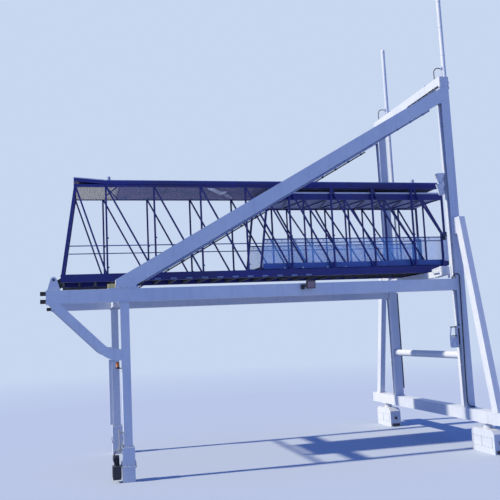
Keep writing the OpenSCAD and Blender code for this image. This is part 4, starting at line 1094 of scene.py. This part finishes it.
def dressFrontEnd():
    f, ends = frontEnd, []
    x, z = (f["back"] + f["front"]) / 2, (f["boxLow"] + f["boxHigh"]) / 2
    for side in sides:
        y = side * span["innerY"]
        ends.append(addBlock((f["back"], y, f["boxLow"]), (f["front"], y + side * f["boxReach"], f["boxHigh"]),
                             0.006, 2))
        ends.append(addRod((x, y, z), (x, y + side * f["rollerReach"], z), f["rollerRadius"], 20, 0.005))
        ends.append(addBlock((f["back"], y, f["plateLow"]),
                             (f["front"], y + side * f["plateReach"], f["plateHigh"]), 0.005, 2))
    dress("frontRollers", ends, "foldedTrimAluminium", "inner_tunnel")
    panel = insetFaces(addBlock(f["panelLow"], f["panelHigh"], 0.004), (0, -1, 0), 0.03, -0.004)
    dress("farEndPanel", [panel], "blueCoatedBoard", "inner_tunnel")


dressFrontEnd()


# folded cover strips on the short front posts of the outer tunnel, with the clips that hold their tops
postCover = {"back": 7.165, "front": 7.278, "low": 6.62, "high": 7.46, "lip": 0.018, "clipHalf": 0.03,
             "clipAbove": (0.10, -0.02), "pinX": 7.24, "pinAbove": 0.04}


def dressPostCovers():
    covers, clips = [], []
    p, high = postCover, postCover["high"]
    for side in sides:
        y, lip = side * span["soleOut"], side * p["lip"]
        cover = addBlock((p["back"], y, p["low"]), (p["front"], y + lip, high), 0.004)
        covers.append(insetFaces(cover, (0, side, 0), 0.02, -0.006))
        for z in (high + above for above in p["clipAbove"]):
            clips.append(addBlock((p["back"] - 0.02, y, z - p["clipHalf"]),
                                  (p["front"] + 0.002, y + 2 * lip, z + p["clipHalf"]), 0.006, 2))
        clips.append(addRod((p["pinX"], y, high + p["pinAbove"]),
                            (p["pinX"], y + 2 * lip, high + p["pinAbove"]), 0.03, 16, 0.004))
    dress("postCovers", covers, "foldedTrimAluminium", "outer_tunnel")
    dress("postCoverClips", clips, "darkCoatedSteel", "outer_tunnel")


dressPostCovers()


# pale grey plates on the outer face of the sole chords, one at each floor joist: painted highlight of the
# joists' lit lower edges
joistHighlightPlate = {"first": -4.66, "pitch": 0.54, "count": 13, "long": 0.21, "low": 6.208, "high": 6.258,
              "thickness": 0.005}


def dressJoistHighlightPlates():
    plates = []
    for side in sides:
        y = side * span["soleOut"]
        for i in range(joistHighlightPlate["count"]):
            x = joistHighlightPlate["first"] + joistHighlightPlate["pitch"] * i
            plate = addBlock((x - joistHighlightPlate["long"], y, joistHighlightPlate["low"]),
                             (x, y + side * joistHighlightPlate["thickness"], joistHighlightPlate["high"]), 0.002)
            plates.append(insetFaces(plate, (0, side, 0), 0.012, -0.002))
    # the grey plates are painted highlight along the joists' lower edges
    dress("joistEdgeHighlightPlates", plates, "greyCoatedSteel", "outer_tunnel")


dressJoistHighlightPlates()


# fender on the nose: rounded rubber section on both sides and across the foot
fender = {"back": 7.38, "reach": 0.06, "low": 6.46, "walk": 6.56, "top": 7.75, "cheekHalf": 0.075, "ribs": 11,
          "ribMargin": 0.04, "capBack": 7.322, "capThickness": 0.004, "screwX": 7.375, "firstScrew": 6.70,
          "screws": 4, "screwPitch": 0.19}


def dressFender():
    rear, front, walk, top = fender["back"], fender["back"] + fender["reach"], fender["walk"], fender["top"]
    out, half = span["innerY"], fender["cheekHalf"]
    parts = [addBlock((rear, -out, fender["low"]), (front, out, walk), 0.028, 4)]
    cheek = addBlock((rear, -half, walk - 0.03), (front, half, top), 0.028, 4)
    parts += spread(cheek, [(0, side * (out - half), 0) for side in sides])
    rib = addBlock((rear - 0.004, -half + 0.0005, -0.01), (front - 0.004, half - 0.0005, 0.01), 0.004)
    heights = evenly((walk + top) / 2, (top - walk) / 2 - fender["ribMargin"], fender["ribs"])
    parts += spread(rib, [(0, side * (out - half), z) for side in sides for z in heights])
    dress("noseFender", parts, "mouldedNeoprene", "inner_tunnel", ("rubber_nose",))
    # folded capping strips down the outside of the cheeks, with their screws
    strips, screws = [], []
    for side in sides:
        y, thickness = side * out, side * fender["capThickness"]
        strip = addBlock((fender["capBack"], y, walk + 0.06),
                         (front - 0.012, y + thickness, top - 0.28), 0.0015)
        strips.append(insetFaces(strip, (0, side, 0), 0.012, 0.004))
        screws += [((fender["screwX"], y + 2 * thickness, fender["firstScrew"] + i * fender["screwPitch"]),
                    (0, side, 0)) for i in range(fender["screws"])]
    dress("fenderCapping", strips, "foldedTrimAluminium", "inner_tunnel")
    dress("cappingScrews", boltRow(screws, 0.35), "galvanisedZinc", "inner_tunnel")


dressFender()
print("inner tunnel dressed")


# carriage: plates at the ends of its arms, and bolts on the arms and the cross beam
carriage = {"plateLow": (6.30, 2.334, 6.02), "plateHigh": (6.54, 2.486, 6.28),
            "armX": 6.26, "armBolts": (1.9, 2.1, 2.3, 2.44), "armZ": (6.13, 6.22),
            "beamX": 6.34, "beamBolts": (0.2, 0.7, 1.2), "beamZ": (5.965,)}


def dressCarriage():
    plates, bolts = [], []
    mirror = {side: Vector((1, side, 1)) for side in sides}
    for side in sides:
        plates.append(addBlock(Vector(carriage["plateLow"]) * mirror[side],
                               Vector(carriage["plateHigh"]) * mirror[side], 0.004))
        for part in ("arm", "beam"):
            bolts += [((carriage[part + "X"], side * y, z), back)
                      for y in carriage[part + "Bolts"] for z in carriage[part + "Z"]]
    dress("carriagePlates", plates, "whiteCoatedSteel", "carriage")
    dress("carriageBolts", boltRow(bolts, 0.7), "galvanisedZinc", "carriage")


dressCarriage()


# bent conduit from the level beam's end over to the near mast, then down its outer face on saddles
bentConduit = {"radius": 0.018, "beamY": -2.80, "faceY": -2.852, "glandRadius": 0.028, "saddlePitch": 0.55,
               "arch": ((6.47, 5.825), (6.485, 5.885), (6.52, 5.94), (6.56, 5.972), (6.61, 5.986),
                        (6.66, 5.984), (6.70, 5.962), (6.722, 5.92), (6.73, 5.86)),
               "down": ((6.70, 4.60), (6.672, 3.40), (6.645, 2.50), (6.635, 1.70), (6.645, 1.52), (6.69, 1.43),
                        (6.76, 1.385), (6.87, 1.37))}


def dressBentConduit():
    start, face = bentConduit["beamY"], bentConduit["faceY"]
    arch = [Vector((x, start + (face - start) * min(1, i / 5), z))
            for i, (x, z) in enumerate(bentConduit["arch"])]
    fall = [Vector((x, face, z)) for x, z in bentConduit["down"]]
    pipe = addPipe(arch + fall, bentConduit["radius"])
    glands = [addRod(low, high, bentConduit["glandRadius"], 6, 0.003) for low, high in (
        (arch[0], arch[0] + Vector((0, 0, 0.035))),
        (fall[-1] - Vector((0.03, 0, 0)), fall[-1] + Vector((0.01, 0, 0))))]
    dress("bentConduit", [pipe] + glands, "darkCoatedSteel", "gantry")
    # saddles at even heights on the straight run, from the arch to the foot bend
    straight = [arch[-1]] + fall[:4]
    saddle = addBlock((-0.034, -0.008, -0.014), (0.034, 0.022, 0.014), 0.005, 2)
    places = []
    for i in range(1, int((straight[0].z - straight[-1].z) / bentConduit["saddlePitch"]) + 1):
        z = straight[0].z - i * bentConduit["saddlePitch"]
        upper, lower = next((p, q) for p, q in zip(straight, straight[1:]) if q.z <= z <= p.z)
        places.append((lower.x + (upper.x - lower.x) * (z - lower.z) / (upper.z - lower.z), face, z))
    dress("conduitSaddles", spread(saddle, places), "greyCoatedSteel", "gantry")


dressBentConduit()


# junction box on the near girder's seat, yellow, with its lid
junction = {"low": (-5.43, -2.77, 5.845), "high": (-5.21, -2.63, 5.98), "lid": 0.03, "lip": 0.004}


def dressJunctionBox():
    low, high, lip = Vector(junction["low"]), Vector(junction["high"]), junction["lip"]
    box = insetFaces(addBlock(low, high, 0.008, 2), (0, -1, 0), 0.014, -0.004)
    lid = addBlock((low.x - lip, low.y - lip, high.z - junction["lid"]),
                   (high.x + lip, high.y + lip, high.z), 0.006, 2)
    dress("junctionBox", [box, lid], "yellowCoatedSteel", "gantry")


dressJunctionBox()
print("small fittings made")


# plain pale floor, pale surround, one broad sun from the rear and an even sky
studio = {"floor": "A8B4CC", "floorRadius": 260, "fadeFrom": 22.0, "fadeTo": 60.0, "surround": "C8D7F0",
          "sky": (0.22, 0.40, 1.0), "skyLevel": 0.70, "sunLevel": 5.8, "sunColour": (1.0, 0.88, 0.60),
          "sunTravel": (0.80, -0.025, -0.60), "sunAngle": 1.5}


def buildFloor(look):
    bpy.ops.mesh.primitive_circle_add(vertices=96, radius=look["floorRadius"], fill_type="NGON",
                                      location=(0, 0, -0.001))
    floor = bpy.context.object
    floor.name = "studioFloor"
    tree, place = startMaterial("paleFloor")
    reach = addNode(tree, "VectorMath", {0: place}, {"operation": "LENGTH"})["Value"]
    far = addNode(tree, "MapRange", {"Value": reach, "From Min": look["fadeFrom"],
                                     "From Max": look["fadeTo"]})[0]
    cameraRay = addNode(tree, "LightPath")["Is Camera Ray"]
    seen = addNode(tree, "Math", {0: cameraRay, 1: far}, {"operation": "MULTIPLY"})[0]
    matt = addNode(tree, "BsdfDiffuse", {"Color": hexToLinear(look["floor"])})[0]
    glow = addNode(tree, "Emission", {"Color": hexToLinear(look["surround"])})[0]
    shader = addNode(tree, "MixShader", {0: seen, 1: matt, 2: glow})[0]
    addNode(tree, "OutputMaterial", {"Surface": shader})
    floor.data.materials.append(materials["paleFloor"])


def buildLight(look):
    world = bpy.data.worlds.new("studioWorld")
    scene.world = world
    world.use_nodes = True
    tree = world.node_tree
    tree.nodes.clear()
    paths = addNode(tree, "LightPath")
    seen = paths["Is Camera Ray"]
    for name in ("Is Glossy Ray", "Is Transmission Ray"):
        seen = addNode(tree, "Math", {0: seen, 1: paths[name]}, {"operation": "MAXIMUM"})[0]
    sky = addNode(tree, "Background", {"Color": (*look["sky"], 1), "Strength": look["skyLevel"]})[0]
    pale = addNode(tree, "Background", {"Color": hexToLinear(look["surround"]), "Strength": 1.0})[0]
    mix = addNode(tree, "MixShader", {0: seen, 1: sky, 2: pale})[0]
    addNode(tree, "OutputWorld", {"Surface": mix})

    bpy.ops.object.light_add(type="SUN")
    sun = bpy.context.object
    sun.data.energy = look["sunLevel"]
    sun.data.color = look["sunColour"]
    sun.data.angle = math.radians(look["sunAngle"])
    sun.rotation_mode = "QUATERNION"
    sun.rotation_quaternion = Vector(look["sunTravel"]).to_track_quat("-Z", "Y")
    scene.view_settings.view_transform = "Standard"


buildFloor(studio)
buildLight(studio)
print("studio built")
